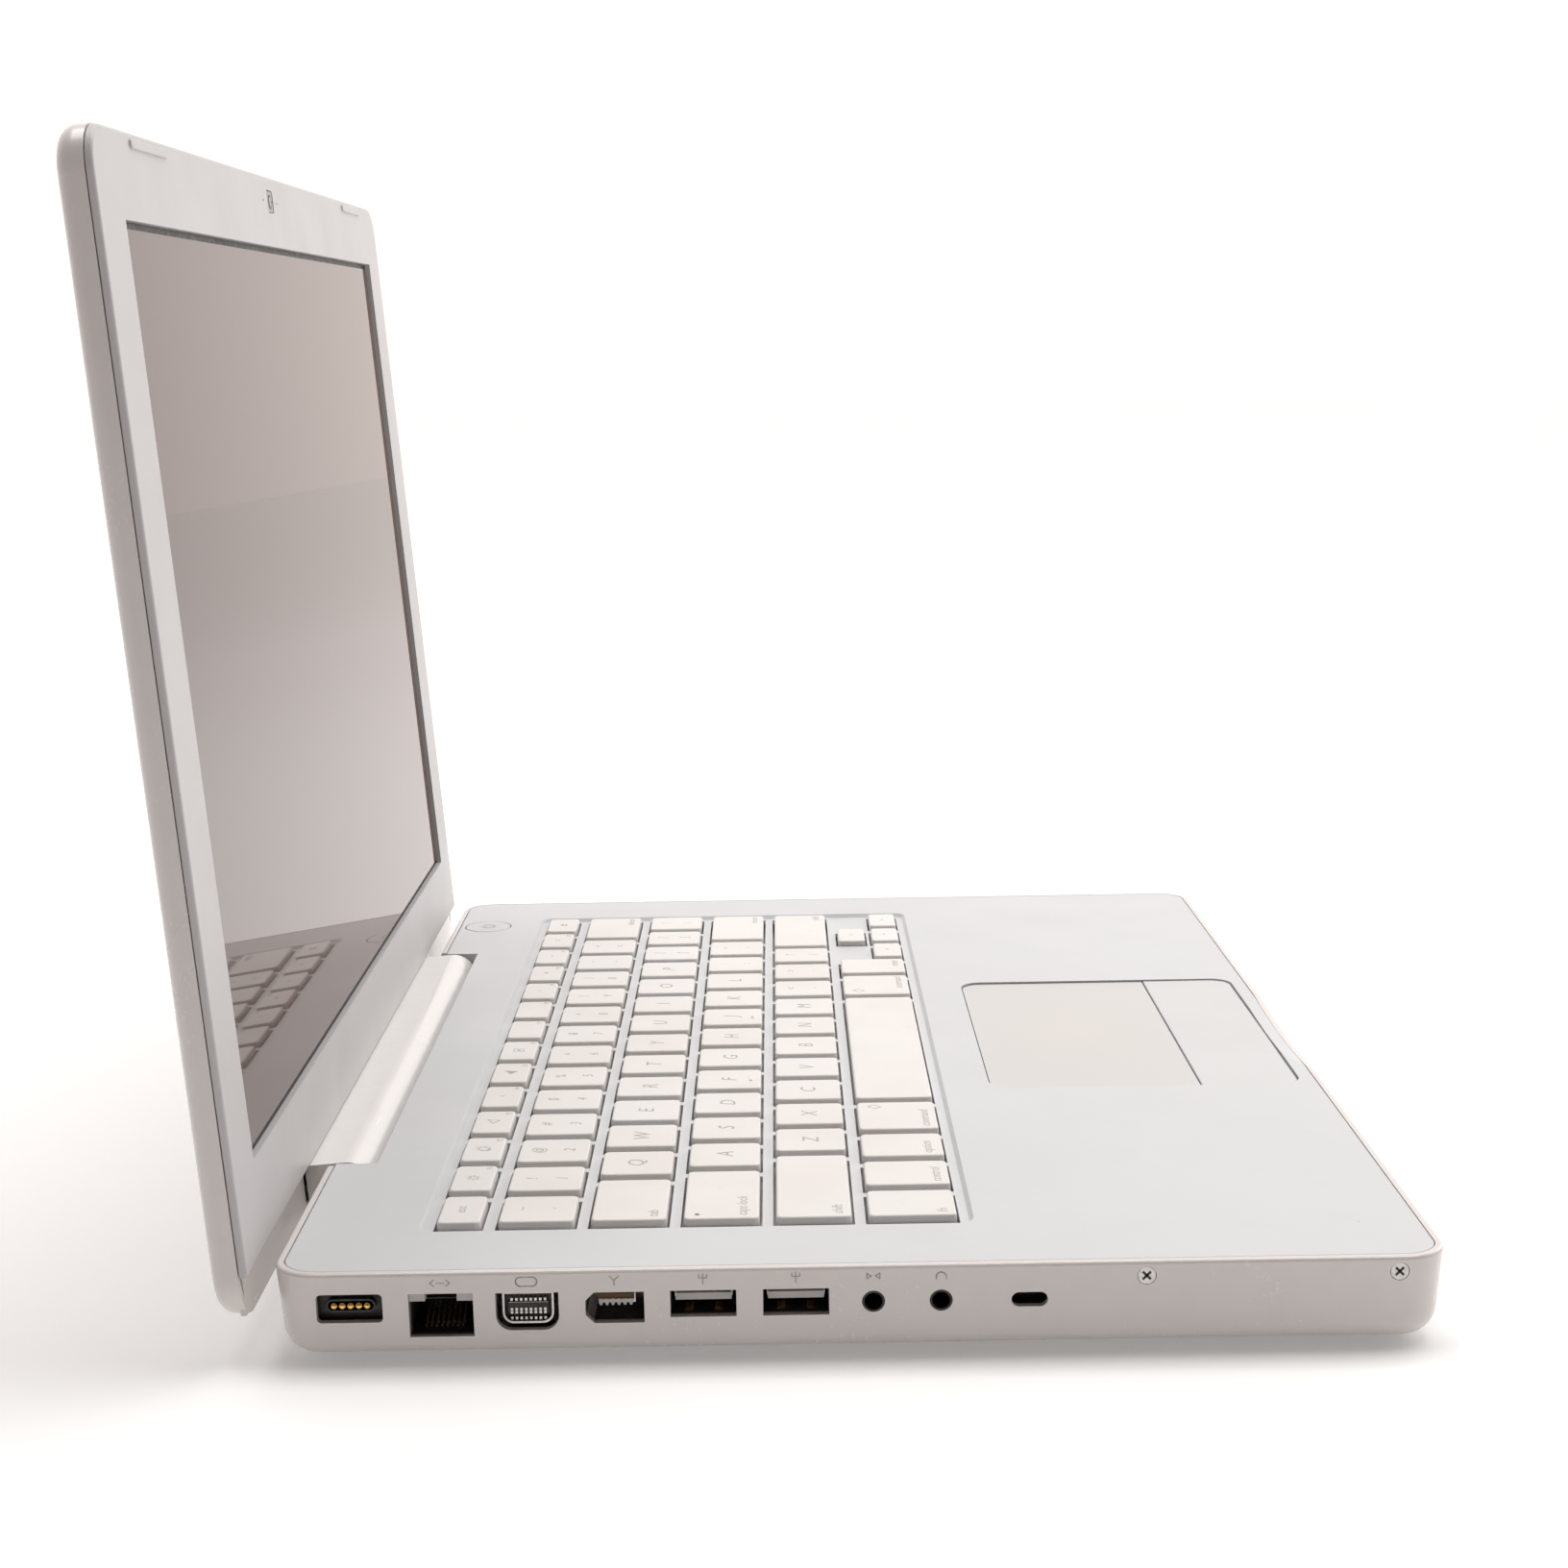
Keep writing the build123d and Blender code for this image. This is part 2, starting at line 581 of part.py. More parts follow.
def battery_lock():
    """A quarter turn lock with a coin slot, beside the battery."""
    lock = disc(LOCK_X, LOCK_Y, UNDERSIDE, UNDERSIDE + 3.0, LOCK_R)
    lock += block(LOCK_X - 10.5, LOCK_X + 10.5, LOCK_Y - 2.5, LOCK_Y + 2.5, UNDERSIDE + 2.4, UNDERSIDE + 4.2)
    return lock - block(LOCK_X - 5.5, LOCK_X + 5.5, LOCK_Y - 0.9, LOCK_Y + 0.9, 0, UNDERSIDE + 1.4)


# ---------------------------------------------------------------- hinges
SHAFT_R = 1.5
KNUCKLE_R = 2.6
LEAF_X = 91.4            # base leaf of each hinge, from here outwards
LEAF = 1.5


def hinge_bracket(side):
    """Base half of a hinge: a leaf that drops to the floor, its foot, and the fixed shaft."""
    x0, x1 = side * LEAF_X, side * (LEAF_X + LEAF)
    floor = UNDERSIDE + FLOOR + 0.1
    leaf = rod_x(x0, x1, HINGE_Y, HINGE_Z, KNUCKLE_R)
    leaf += block(x0, x1, HINGE_Y - 2.5, HINGE_Y + 2.0, 5.1, HINGE_Z)
    leaf += block(x0, x1, HINGE_Y - 6.0, HINGE_Y - 0.2, 4.6, 5.7)
    leaf += block(x0, x1, 91.6, HINGE_Y - 2.7, floor, 5.7)
    foot = block(side * 80.0, x1, 91.6, 104.6, floor, floor + 1.2)
    for y in (94.6, 101.6):
        foot -= disc(side * 85.0, y, 0, 8, 1.3)
    return leaf + foot + rod_x(side * 73.5, x0, HINGE_Y, HINGE_Z, SHAFT_R)


def lid_arm(side):
    """Lid half of a hinge: a knuckle that turns on the shaft and a leaf behind the screen."""
    x0, x1 = side * 74.0, side * 90.6
    arm = rod_x(x0, x1, HINGE_Y, HINGE_Z, KNUCKLE_R)
    arm += block(x0, x1, HINGE_Y - 1.0, HINGE_Y + 1.0, HINGE_Z, 25.9)
    arm += block(x0, x1, 48.0, HINGE_Y + 1.0, 25.1, 25.9)
    arm -= rod_x(side * 73.0, side * 92.0, HINGE_Y, HINGE_Z, SHAFT_R + 0.05)
    for y in (56.0, 76.0):
        arm -= disc(side * 82.3, y, 24, 27, 1.2)
    return opened(arm)


COVER_R = 6.5            # front and belly of the hinge cover, from the hinge axis
COVER_REAR = 3.9         # its rear face, shut


def cover_outline(grow):
    """Section of the hinge cover, shut: upright front face, round belly, short rear face."""
    r = COVER_R + grow
    rear = COVER_REAR + grow
    drop = math.sqrt(r**2 - rear**2)
    top = 8.7
    line = Polyline((-r, 0), (-r, top), (rear, top), (rear, -drop))
    arc = ThreePointArc((rear, -drop), (-r * math.sin(math.pi / 4), -r * math.cos(math.pi / 4)), (-r, 0))
    return make_face(line + arc)


def hinge_cover():
    """The long cover round the hinge, hollow and open towards the lid."""
    half = NOTCH_HALF - 0.9
    plane = Plane(origin=(-half, HINGE_Y, HINGE_Z), x_dir=(0, 1, 0), z_dir=(1, 0, 0))
    cover = extrude(plane * cover_outline(0), amount=2 * half)
    hollow_plane = Plane(origin=(-half + 1.2, HINGE_Y, HINGE_Z), x_dir=(0, 1, 0), z_dir=(1, 0, 0))
    cover -= extrude(hollow_plane * cover_outline(-1.0), amount=2 * half - 2.4)
    for side in (-1, 1):
        slot = rod_x(side * (LEAF_X - 0.5), side * (LEAF_X + LEAF + 0.4), HINGE_Y, HINGE_Z, 9)
        keep = block(side * 90, side * 94, HINGE_Y - 10, HINGE_Y - 2.9, HINGE_Z - 10, HINGE_Z + 10)
        keep += block(side * 90, side * 94, HINGE_Y - 10, HINGE_Y + 10, HINGE_Z + 5.7, HINGE_Z + 10)
        cover -= slot - keep
    return opened(cover)


# ---------------------------------------------------------------- lid
SCREEN_W, SCREEN_H = 286.1, 178.8
SCREEN_MID_Y = -5.8      # centre of the screen while shut
SCREEN_LIP = 1.4         # dark border between picture and bezel
CAMERA_Y = -107.3


def screen_box(grow, z0, z1):
    half_w, half_h = SCREEN_W / 2 + grow, SCREEN_H / 2 + grow
    return block(-half_w, half_w, SCREEN_MID_Y - half_h, SCREEN_MID_Y + half_h, z0, z1)


def lid_plan(inset, z0, z1, r):
    return slab(-HALF_W + inset, HALF_W - inset, -HALF_D + inset, LID_REAR - inset, z0, z1, r)


def lid_back_cover():
    cover = lid_plan(0, BEZEL_BACK + SEAM, LID_BACK, CORNER)
    cover = fillet(top_edges(cover), 3.6)
    cover -= lid_plan(1.5, BEZEL_BACK, LID_BACK - LID_SKIN, CORNER - 1.5)
    lip = block(-HALF_W + 3, HALF_W - 3, BEZEL_REAR + 0.6, LID_REAR - 1, BEZEL_BACK + SEAM, BEZEL_BACK + 1.4)
    lip -= block(-NOTCH_HALF, NOTCH_HALF, BEZEL_REAR - 1, LID_REAR, 20, 25)
    return opened(cover + lip)


def display_bezel():
    """The frame round the screen, with spacer ridges that rest on the palm rest's edge."""
    face = slab(-HALF_W + 0.3, HALF_W - 0.3, -HALF_D + 0.3, BEZEL_REAR - 0.1, BEZEL_FACE, BEZEL_BACK, CORNER - 0.3)
    rear_corners = block(-HALF_W + 0.3, HALF_W - 0.3, BEZEL_REAR - 12, BEZEL_REAR - 0.1, BEZEL_FACE, BEZEL_BACK)
    face = fillet(bottom_edges(face + rear_corners), 0.6)
    face -= screen_box(SCREEN_LIP, 20, 23)
    for side in (-1, 1):
        ridge = slab(side * 119.5 - 14.5, side * 119.5 + 14.5, -112.0, -110.2, BEZEL_FACE - 0.55, BEZEL_FACE, 0.8)
        face += fillet(bottom_edges(ridge), 0.3)
        face -= disc(side * 8.3, CAMERA_Y, 19, 23, 0.4)
    face -= slab(-3.7, 3.7, CAMERA_Y - 2.7, CAMERA_Y + 2.7, 19, 23, 1.0)
    return opened(face)


def camera_window():
    return opened(slab(-3.5, 3.5, CAMERA_Y - 2.5, CAMERA_Y + 2.5, BEZEL_FACE + 0.1, BEZEL_BACK - 0.2, 0.9))


def camera_module():
    body = block(-30.0, 30.0, CAMERA_Y - 3.4, CAMERA_Y + 2.6, BEZEL_BACK + 0.1, BEZEL_BACK + 1.1)
    body += disc(0, CAMERA_Y - 0.3, BEZEL_BACK + 1.1, BEZEL_BACK + 3.4, 2.3)
    return opened(body)


def lcd_glass():
    return opened(screen_box(0, BEZEL_FACE + 1.1, BEZEL_FACE + 2.2))


def lcd_panel():
    """The screen's metal framed module; its rim stands round the glass."""
    body = screen_box(7.0, BEZEL_FACE + 1.6, 24.9)
    return opened(body - screen_box(0.05, 20, BEZEL_FACE + 2.2))


def inverter_board():
    board = block(-60.0, 60.0, 92.5, 99.5, 22.6, 23.8)
    return opened(board + block(-34.0, 6.0, 93.5, 98.5, 23.8, 25.8))


def latch_magnets():
    """Four magnets behind the bezel's free edge that hold the lid shut."""
    shapes = []
    for x in (-96.0, -84.0, 84.0, 96.0):
        shapes.append(opened(block(x - 5, x + 5, -110.8, -106.4, BEZEL_BACK + 0.1, BEZEL_BACK + 2.6)))
    return group(shapes)


def display_cable():
    """A flat cable from the screen's module down into the hinge cover."""
    cable = block(-52.0, -40.0, 76.0, 108.0, 25.0, 25.5) - block(-53.0, -39.0, 75.0, 86.0, 24, 24.95)
    cable += block(-52.0, -40.0, 107.5, 108.0, HINGE_Z + 2, 25.5)
    return opened(cable)


# ---------------------------------------------------------------- all nodes
def all_nodes():
    nodes = {
        "top_case": top_case(),
        "bottom_case": bottom_case(),
        "rear_vent": rear_vent(),
        "feet": feet(),
        "case_screws": case_screws(),
        "power_inlet": power_inlet(),
        "ethernet_jack": ethernet_jack(),
        "video_socket": video_socket(),
        "serial_bus_socket": serial_bus_socket(),
        "data_sockets": data_sockets(),
        "audio_jacks": audio_jacks(),
        "logic_board": logic_board(),
        "memory_modules": memory_modules(),
        "wireless_card": wireless_card(),
        "heat_sink": heat_sink(),
        "fan_housing": fan_housing(),
        "fan_rotor": fan_rotor(),
        "hard_drive": hard_drive(),
        "optical_drive": optical_drive(),
        "speakers": speakers(),
        "internal_frame": internal_frame(),
        "keyboard_plate": keyboard_plate(),
        "trackpad_plate": trackpad_plate(),
        "trackpad_button": trackpad_button(),
        "power_button": power_button(),
        "battery": battery(),
        "battery_lock": battery_lock(),
        "hinge_bracket_left": hinge_bracket(-1),
        "hinge_bracket_right": hinge_bracket(1),
        "lid_arm_left": lid_arm(-1),
        "lid_arm_right": lid_arm(1),
        "hinge_cover": hinge_cover(),
        "lid_back_cover": lid_back_cover(),
        "display_bezel": display_bezel(),
        "camera_window": camera_window(),
        "camera_module": camera_module(),
        "lcd_glass": lcd_glass(),
        "lcd_panel": lcd_panel(),
        "inverter_board": inverter_board(),
        "latch_magnets": latch_magnets(),
        "display_cable": display_cable(),
    }
    for name, rects in KEYS.items():
        nodes[name] = group([key_cap(r) for r in rects])
    return nodes


os.makedirs("parts", exist_ok=True)
for node_name, node_shape in all_nodes().items():
    export_step(node_shape, f"parts/{node_name}.step")
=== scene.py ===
"""Looks of a white clamshell laptop computer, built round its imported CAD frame."""
import json
import math

import bpy
from mathutils import Matrix, Vector


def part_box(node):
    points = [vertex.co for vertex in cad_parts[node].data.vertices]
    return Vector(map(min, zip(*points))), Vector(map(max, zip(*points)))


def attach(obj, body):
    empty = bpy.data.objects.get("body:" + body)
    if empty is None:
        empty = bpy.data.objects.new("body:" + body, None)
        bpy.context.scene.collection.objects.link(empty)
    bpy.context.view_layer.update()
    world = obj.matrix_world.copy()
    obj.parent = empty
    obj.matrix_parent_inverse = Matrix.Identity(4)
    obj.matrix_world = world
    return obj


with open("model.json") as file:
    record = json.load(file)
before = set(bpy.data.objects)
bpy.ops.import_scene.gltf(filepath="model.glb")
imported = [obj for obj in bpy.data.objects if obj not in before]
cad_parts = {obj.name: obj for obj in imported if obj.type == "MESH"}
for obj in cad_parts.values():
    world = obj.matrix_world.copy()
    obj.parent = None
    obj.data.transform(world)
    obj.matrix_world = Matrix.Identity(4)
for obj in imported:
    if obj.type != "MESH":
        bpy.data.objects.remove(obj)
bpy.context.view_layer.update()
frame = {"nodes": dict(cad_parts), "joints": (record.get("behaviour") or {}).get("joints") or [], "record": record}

MM = 0.001
nodes = frame["nodes"]
scene = bpy.context.scene
scene.view_settings.view_transform = "Standard"


# ---------------------------------------------------------------- camera
CAMERA_PLACE = Vector((-0.6257, 0.01425, 0.1940))
CAMERA_YAW = -0.0021        # turned from +X, radians
CAMERA_PITCH = 0.1732       # down
CAMERA_ROLL = -0.0161
CAMERA_LENS = 58.43         # on a 36 mm sensor


def make_camera():
    """The photograph's camera, fitted to the key grid and the case edges."""
    data = bpy.data.cameras.new("camera")
    data.sensor_width = 36.0
    data.lens = CAMERA_LENS
    data.clip_start = 0.01
    camera = bpy.data.objects.new("camera", data)
    scene.collection.objects.link(camera)
    ahead = Vector((math.cos(CAMERA_PITCH) * math.cos(CAMERA_YAW),
                    math.cos(CAMERA_PITCH) * math.sin(CAMERA_YAW),
                    -math.sin(CAMERA_PITCH)))
    right = Vector((math.sin(CAMERA_YAW), -math.cos(CAMERA_YAW), 0.0))
    up = right.cross(ahead)
    c, s = math.cos(CAMERA_ROLL), math.sin(CAMERA_ROLL)
    axes = (c * right + s * up, c * up - s * right, -ahead)
    turn = Matrix(axes).transposed().to_4x4()
    camera.matrix_world = Matrix.Translation(CAMERA_PLACE) @ turn
    scene.camera = camera


# ---------------------------------------------------------------- studio
FLOOR_GLOW_FROM, FLOOR_GLOW_TO = -0.1, 1.4      # X where the glow starts and stops to rise
FLOOR_GLOW_NEAR, FLOOR_GLOW_FAR = 0.16, 0.55
WORLD_DARK = (0.110, 0.092, 0.085, 1)
WORLD_BRIGHT = (1.15, 1.07, 1.03, 1)
WORLD_DARK_STOP, WORLD_BRIGHT_STOP = 0.3, 0.88
# name, place, target, width, height, power, colour
LIGHTS = (
    ("overhead", (0.1, -0.05, 1.2), (0.1, -0.05, 0.0), 0.7, 1.3, 11.2, (1.0, 0.99, 0.98)),
    ("front_fill", (0.40, -0.80, 0.50), (0.0, 0.10, 0.03), 1.0, 0.6, 2.7, (1.0, 0.985, 0.97)),
)


def make_floor():
    """A plain pale floor that glows more far from the camera, to hide the main view's horizon."""
    half = 6.0
    mesh = bpy.data.meshes.new("studio_floor")
    corners = [(-half, -half, 0), (half, -half, 0), (half, half, 0), (-half, half, 0)]
    mesh.from_pydata(corners, [], [(0, 1, 2, 3)])
    floor = bpy.data.objects.new("studio_floor", mesh)
    scene.collection.objects.link(floor)
    material = bpy.data.materials.new("pale_floor")
    material.use_nodes = True
    shader = material.node_tree.nodes["Principled BSDF"]
    shader.inputs["Base Color"].default_value = (0.9, 0.9, 0.9, 1)
    shader.inputs["Roughness"].default_value = 0.7
    shader.inputs["Specular IOR Level"].default_value = 0.1
    shader.inputs["Emission Color"].default_value = (1, 1, 1, 1)
    place = material.node_tree.nodes.new("ShaderNodeTexCoord")
    split = material.node_tree.nodes.new("ShaderNodeSeparateXYZ")
    glow = material.node_tree.nodes.new("ShaderNodeMapRange")
    glow.inputs["From Min"].default_value = FLOOR_GLOW_FROM
    glow.inputs["From Max"].default_value = FLOOR_GLOW_TO
    glow.inputs["To Min"].default_value = FLOOR_GLOW_NEAR
    glow.inputs["To Max"].default_value = FLOOR_GLOW_FAR
    material.node_tree.links.new(place.outputs["Object"], split.inputs[0])
    material.node_tree.links.new(split.outputs["X"], glow.inputs["Value"])
    material.node_tree.links.new(glow.outputs[0], shader.inputs["Emission Strength"])
    mesh.materials.append(material)


def area_light(name, place, target, width, height, power, colour):
    """A soft rectangular lamp aimed from its place at the target."""
    data = bpy.data.lights.new(name, "AREA")
    data.shape = "RECTANGLE"
    data.size = width
    data.size_y = height
    data.energy = power
    data.color = colour
    light = bpy.data.objects.new(name, data)
    scene.collection.objects.link(light)
    light.location = place
    aim = Vector(target) - Vector(place)
    light.rotation_mode = "QUATERNION"
    light.rotation_quaternion = aim.to_track_quat("-Z", "Y")


def make_world():
    """A bright sweep that is dimmer on the side of the -X wall."""
    world = bpy.data.worlds.new("studio")
    scene.world = world
    world.use_nodes = True
    tree = world.node_tree
    tree.nodes.clear()
    coords = tree.nodes.new("ShaderNodeTexCoord")
    split = tree.nodes.new("ShaderNodeSeparateXYZ")
    ramp = tree.nodes.new("ShaderNodeValToRGB")
    spread = tree.nodes.new("ShaderNodeMapRange")
    background = tree.nodes.new("ShaderNodeBackground")
    output = tree.nodes.new("ShaderNodeOutputWorld")
    tree.links.new(coords.outputs["Generated"], split.inputs[0])
    tree.links.new(split.outputs["X"], spread.inputs["Value"])
    spread.inputs["From Min"].default_value = -1.0
    spread.inputs["From Max"].default_value = 1.0
    tree.links.new(spread.outputs[0], ramp.inputs[0])
    dark, bright = ramp.color_ramp.elements
    dark.position, dark.color = WORLD_DARK_STOP, WORLD_DARK
    bright.position, bright.color = WORLD_BRIGHT_STOP, WORLD_BRIGHT
    tree.links.new(ramp.outputs[0], background.inputs["Color"])
    tree.links.new(background.outputs[0], output.inputs[0])


make_camera()
make_floor()
make_world()
for light in LIGHTS:
    area_light(*light)


# ---------------------------------------------------------------- materials
class Finish:
    """A Principled material whose patterns are measured in metres of the piece's own frame."""

    def __init__(self, name, **sockets):
        self.material = bpy.data.materials.new(name)
        self.material.use_nodes = True
        self.tree = self.material.node_tree
        self.shader = self.tree.nodes["Principled BSDF"]
        self.coords = self.tree.nodes.new("ShaderNodeTexCoord").outputs["Object"]
        self.height = None
        for socket, value in sockets.items():
            self.shader.inputs[socket.replace("_", " ")].default_value = value

    def node(self, kind, **inputs):
        """A shader node; each input is linked if it is a socket, and set if it is a value."""
        made = self.tree.nodes.new("ShaderNode" + kind)
        for socket, value in inputs.items():
            socket = made.inputs[socket.replace("_", " ")]
            if isinstance(value, bpy.types.NodeSocket):
                self.tree.links.new(value, socket)
            else:
                socket.default_value = value
        return made

    def noise(self, scale, detail=3.0, stretch=(1, 1, 1), offset=0.0):
        """Noise with about this many features to the metre, drawn out where the stretch is low."""
        mapped = self.node("Mapping", Vector=self.coords, Scale=stretch, Location=(offset,) * 3)
        made = self.node("TexNoise", Vector=mapped.outputs[0], Scale=scale, Detail=detail)
        return made.outputs["Fac"]

    def specks(self, scale, radius, stretch=(1, 1, 1), share=0.5, offset=0.0):
        """Spots of 1 on a ground of 0. Share is the part of the cells that have one."""
        mapped = self.node("Mapping", Vector=self.coords, Scale=stretch, Location=(offset,) * 3)
        cells = self.node("TexVoronoi", Vector=mapped.outputs[0], Scale=scale)
        spot = self.span(cells.outputs["Distance"], radius, radius * 0.7)
        chosen = self.span(cells.outputs["Color"], share, share - 0.02)
        return self.math("MULTIPLY", spot, chosen)

    def span(self, fac, low, high, to_low=0.0, to_high=1.0):
        """Map low..high to the other two numbers, clamped."""
        spread = self.node("MapRange", Value=fac, From_Min=low, From_Max=high,
                           To_Min=to_low, To_Max=to_high)
        return spread.outputs[0]

    def math(self, operation, a, b):
        """A sum, product or power of two sockets or numbers."""
        made = self.tree.nodes.new("ShaderNodeMath")
        made.operation = operation
        for socket, value in zip(made.inputs, (a, b)):
            if isinstance(value, bpy.types.NodeSocket):
                self.tree.links.new(value, socket)
            else:
                socket.default_value = value
        return made.outputs[0]

    def near(self, place, reach, scale=(1, 1, 1)):
        """1 at a place, falling to 0 at the reach."""
        shifted = self.tree.nodes.new("ShaderNodeVectorMath")
        shifted.operation = "SUBTRACT"
        self.tree.links.new(self.coords, shifted.inputs[0])
        shifted.inputs[1].default_value = place
        scaled = self.tree.nodes.new("ShaderNodeVectorMath")
        scaled.operation = "MULTIPLY"
        self.tree.links.new(shifted.outputs[0], scaled.inputs[0])
        scaled.inputs[1].default_value = scale
        length = self.tree.nodes.new("ShaderNodeVectorMath")
        length.operation = "LENGTH"
        self.tree.links.new(scaled.outputs[0], length.inputs[0])
        return self.span(length.outputs["Value"], reach, 0.0)

    def mix(self, fac, first, second):
        """The first colour where the factor is 0, and the second where it is 1."""
        made = self.tree.nodes.new("ShaderNodeMix")
        made.data_type = "RGBA"
        sockets = (made.inputs[0], made.inputs[6], made.inputs[7])
        for socket, value in zip(sockets, (fac, first, second)):
            if isinstance(value, bpy.types.NodeSocket):
                self.tree.links.new(value, socket)
            else:
                socket.default_value = value if isinstance(value, float) else (*value, 1.0)
        return made.outputs[2]

    def colour(self, socket):
        self.tree.links.new(socket, self.shader.inputs["Base Color"])

    def roughness(self, socket):
        self.tree.links.new(socket, self.shader.inputs["Roughness"])

    def bump(self, height, strength, distance):
        """One more layer of relief over those already there."""
        made = self.node("Bump", Height=height, Strength=strength, Distance=distance)
        if self.height is not None:
            self.tree.links.new(self.height, made.inputs["Normal"])
        self.height = made.outputs[0]
        self.tree.links.new(self.height, self.shader.inputs["Normal"])


def gloss_white(name, light, dark):
    """Glossy white plastic: slow colour drift, grime, and scratches and handling in the shine."""
    f = Finish(name, IOR=1.55, Coat_Weight=0.35, Coat_Roughness=0.05)
    aged = f.mix(f.span(f.noise(14, 1), 0.2, 0.85), light, dark)
    grime = f.span(f.noise(160, 3, offset=3.0), 0.45, 0.95, 0.0, 0.12)
    f.colour(f.mix(grime, aged, (0.52, 0.49, 0.455)))
    scratches = f.noise(900, 2, (0.03, 1.0, 1.0), 1.7)
    handled = f.span(f.noise(45, 1), 0.0, 1.0, 0.19, 0.31)
    f.roughness(f.math("ADD", handled, f.span(scratches, 0.62, 0.8, 0.0, 0.03)))
    return f.material


def satin_white(name, light, dark, low_shine, high_shine):
    """Satin moulded plastic with a fine grain, faint stains, dust dots and polished wear."""
    f = Finish(name, IOR=1.5)
    base = f.mix(f.span(f.noise(22, 3), 0.35, 0.7), light, dark)
    stain = f.span(f.noise(75, 5, offset=8.0), 0.58, 0.90, 0.0, 0.16)
    marks = f.mix(stain, base, tuple(c * 0.82 for c in dark))
    dots = f.specks(140, 0.055, share=0.12)
    f.colour(f.mix(f.math("MULTIPLY", dots, 0.4), marks, (0.36, 0.33, 0.30)))
    f.roughness(f.span(f.noise(38, 4, offset=2.0), 0.3, 0.75, low_shine, high_shine))
    f.bump(f.noise(2600, 2), 0.22, 0.00003)
    f.bump(f.noise(600, 2, (0.06, 1.0, 1.0)), 0.05, 0.00003)
    return f.material


def key_plastic():
    """Warm white caps, a little yellower here and there, smoothed by fingers."""
    f = Finish("key_cap_plastic", IOR=1.5)
    aged = f.mix(f.span(f.noise(34, 1), 0.4, 0.68), (0.775, 0.76, 0.745), (0.755, 0.73, 0.695))
    grime = f.span(f.noise(260, 4, offset=5.0), 0.64, 0.85, 0.0, 0.3)
    f.colour(f.mix(grime, aged, (0.58, 0.53, 0.47)))
    f.roughness(f.span(f.noise(60, 3), 0.3, 0.75, 0.30, 0.5))
    f.bump(f.noise(3200, 2), 0.16, 0.00003)
    return f.material


def touch_surface():
    """The pad: fine grain, worn warmer and smoother where the finger runs."""
    low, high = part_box("trackpad_plate")
    f = Finish("touch_pad_surface", IOR=1.5)
    worn = f.near(tuple((low + high) / 2), 0.050, (0.9, 1.4, 0.0))
    worn = f.math("MULTIPLY", worn, f.span(f.noise(60, 1), 0.0, 1.0, 0.6, 0.9))
    f.colour(f.mix(worn, (0.615, 0.610, 0.602), (0.600, 0.580, 0.560)))
    f.roughness(f.span(worn, 0.0, 0.9, 0.44, 0.27))
    f.bump(f.noise(3000, 2), 0.16, 0.00002)
    return f.material


def screen_surface():
    """The dark screen: a shiny coat, dark face on and a painted brown reflection at a grazing angle, with dust and
    wipe marks.
    """
    f = Finish("screen_film", IOR=1.47)
    facing = f.tree.nodes.new("ShaderNodeLayerWeight")
    facing.inputs["Blend"].default_value = 0.5
    grazing = f.math("POWER", facing.outputs["Facing"], 4.0)
    # painted reflection: the base colour turns brown at a grazing angle
    screen_colour_with_painted_reflection = f.mix(grazing, (0.020, 0.019, 0.020), (0.240, 0.130, 0.090))
    fine, coarse = f.specks(230, 0.06, share=0.10), f.specks(90, 0.05, (1, 1, 0.35), 0.10, 4.0)
    dust = f.math("MAXIMUM", fine, coarse)
    f.colour(f.mix(f.math("MULTIPLY", dust, 0.5), screen_colour_with_painted_reflection, (0.30, 0.28, 0.26)))
    wiped = f.span(f.noise(28, 4, (1.0, 1.0, 0.5)), 0.25, 0.85, 0.012, 0.040)
    f.roughness(f.math("ADD", wiped, f.math("MULTIPLY", dust, 0.3)))
    return f.material


def camera_film():
    """A small tinted window, clear dark from the front, with a painted pale reflection at a grazing angle."""
    f = Finish("camera_window_film", IOR=1.5)
    facing = f.tree.nodes.new("ShaderNodeLayerWeight")
    facing.inputs["Blend"].default_value = 0.5
    grazing = f.math("POWER", facing.outputs["Facing"], 5.0)
    # painted reflection: a pale pinkish colour that takes over at a grazing angle
    painted_grazing_reflection = f.mix(f.span(f.noise(900, 2), 0.3, 0.7), (0.42, 0.36, 0.36), (0.50, 0.45, 0.44))
    f.colour(f.mix(grazing, (0.030, 0.028, 0.030), painted_grazing_reflection))
    f.roughness(f.span(f.noise(400, 2), 0.3, 0.7, 0.05, 0.12))
    return f.material


def black_plastic():
    """Black moulding, a little uneven in shade and shine."""
    f = Finish("black_moulding", IOR=1.5)
    shade = f.span(f.noise(300, 3), 0.4, 0.7)
    f.colour(f.mix(shade, (0.022, 0.020, 0.019), (0.040, 0.037, 0.034)))
    f.roughness(f.span(f.noise(700, 3), 0.3, 0.7, 0.38, 0.6))
    f.bump(f.noise(2500, 2), 0.2, 0.00003)
    return f.material


def metal(name, light, dark, roughness, stretch):
    """Bare metal with a brushed grain along the axes with a low stretch."""
    f = Finish(name, Metallic=1.0)
    grain = f.noise(1800, 3, stretch)
    f.colour(f.mix(f.span(grain, 0.35, 0.7), light, dark))
    f.roughness(f.span(f.noise(140, 3), 0.3, 0.7, roughness, roughness + 0.16))
    f.bump(grain, 0.12, 0.00002)
    return f.material


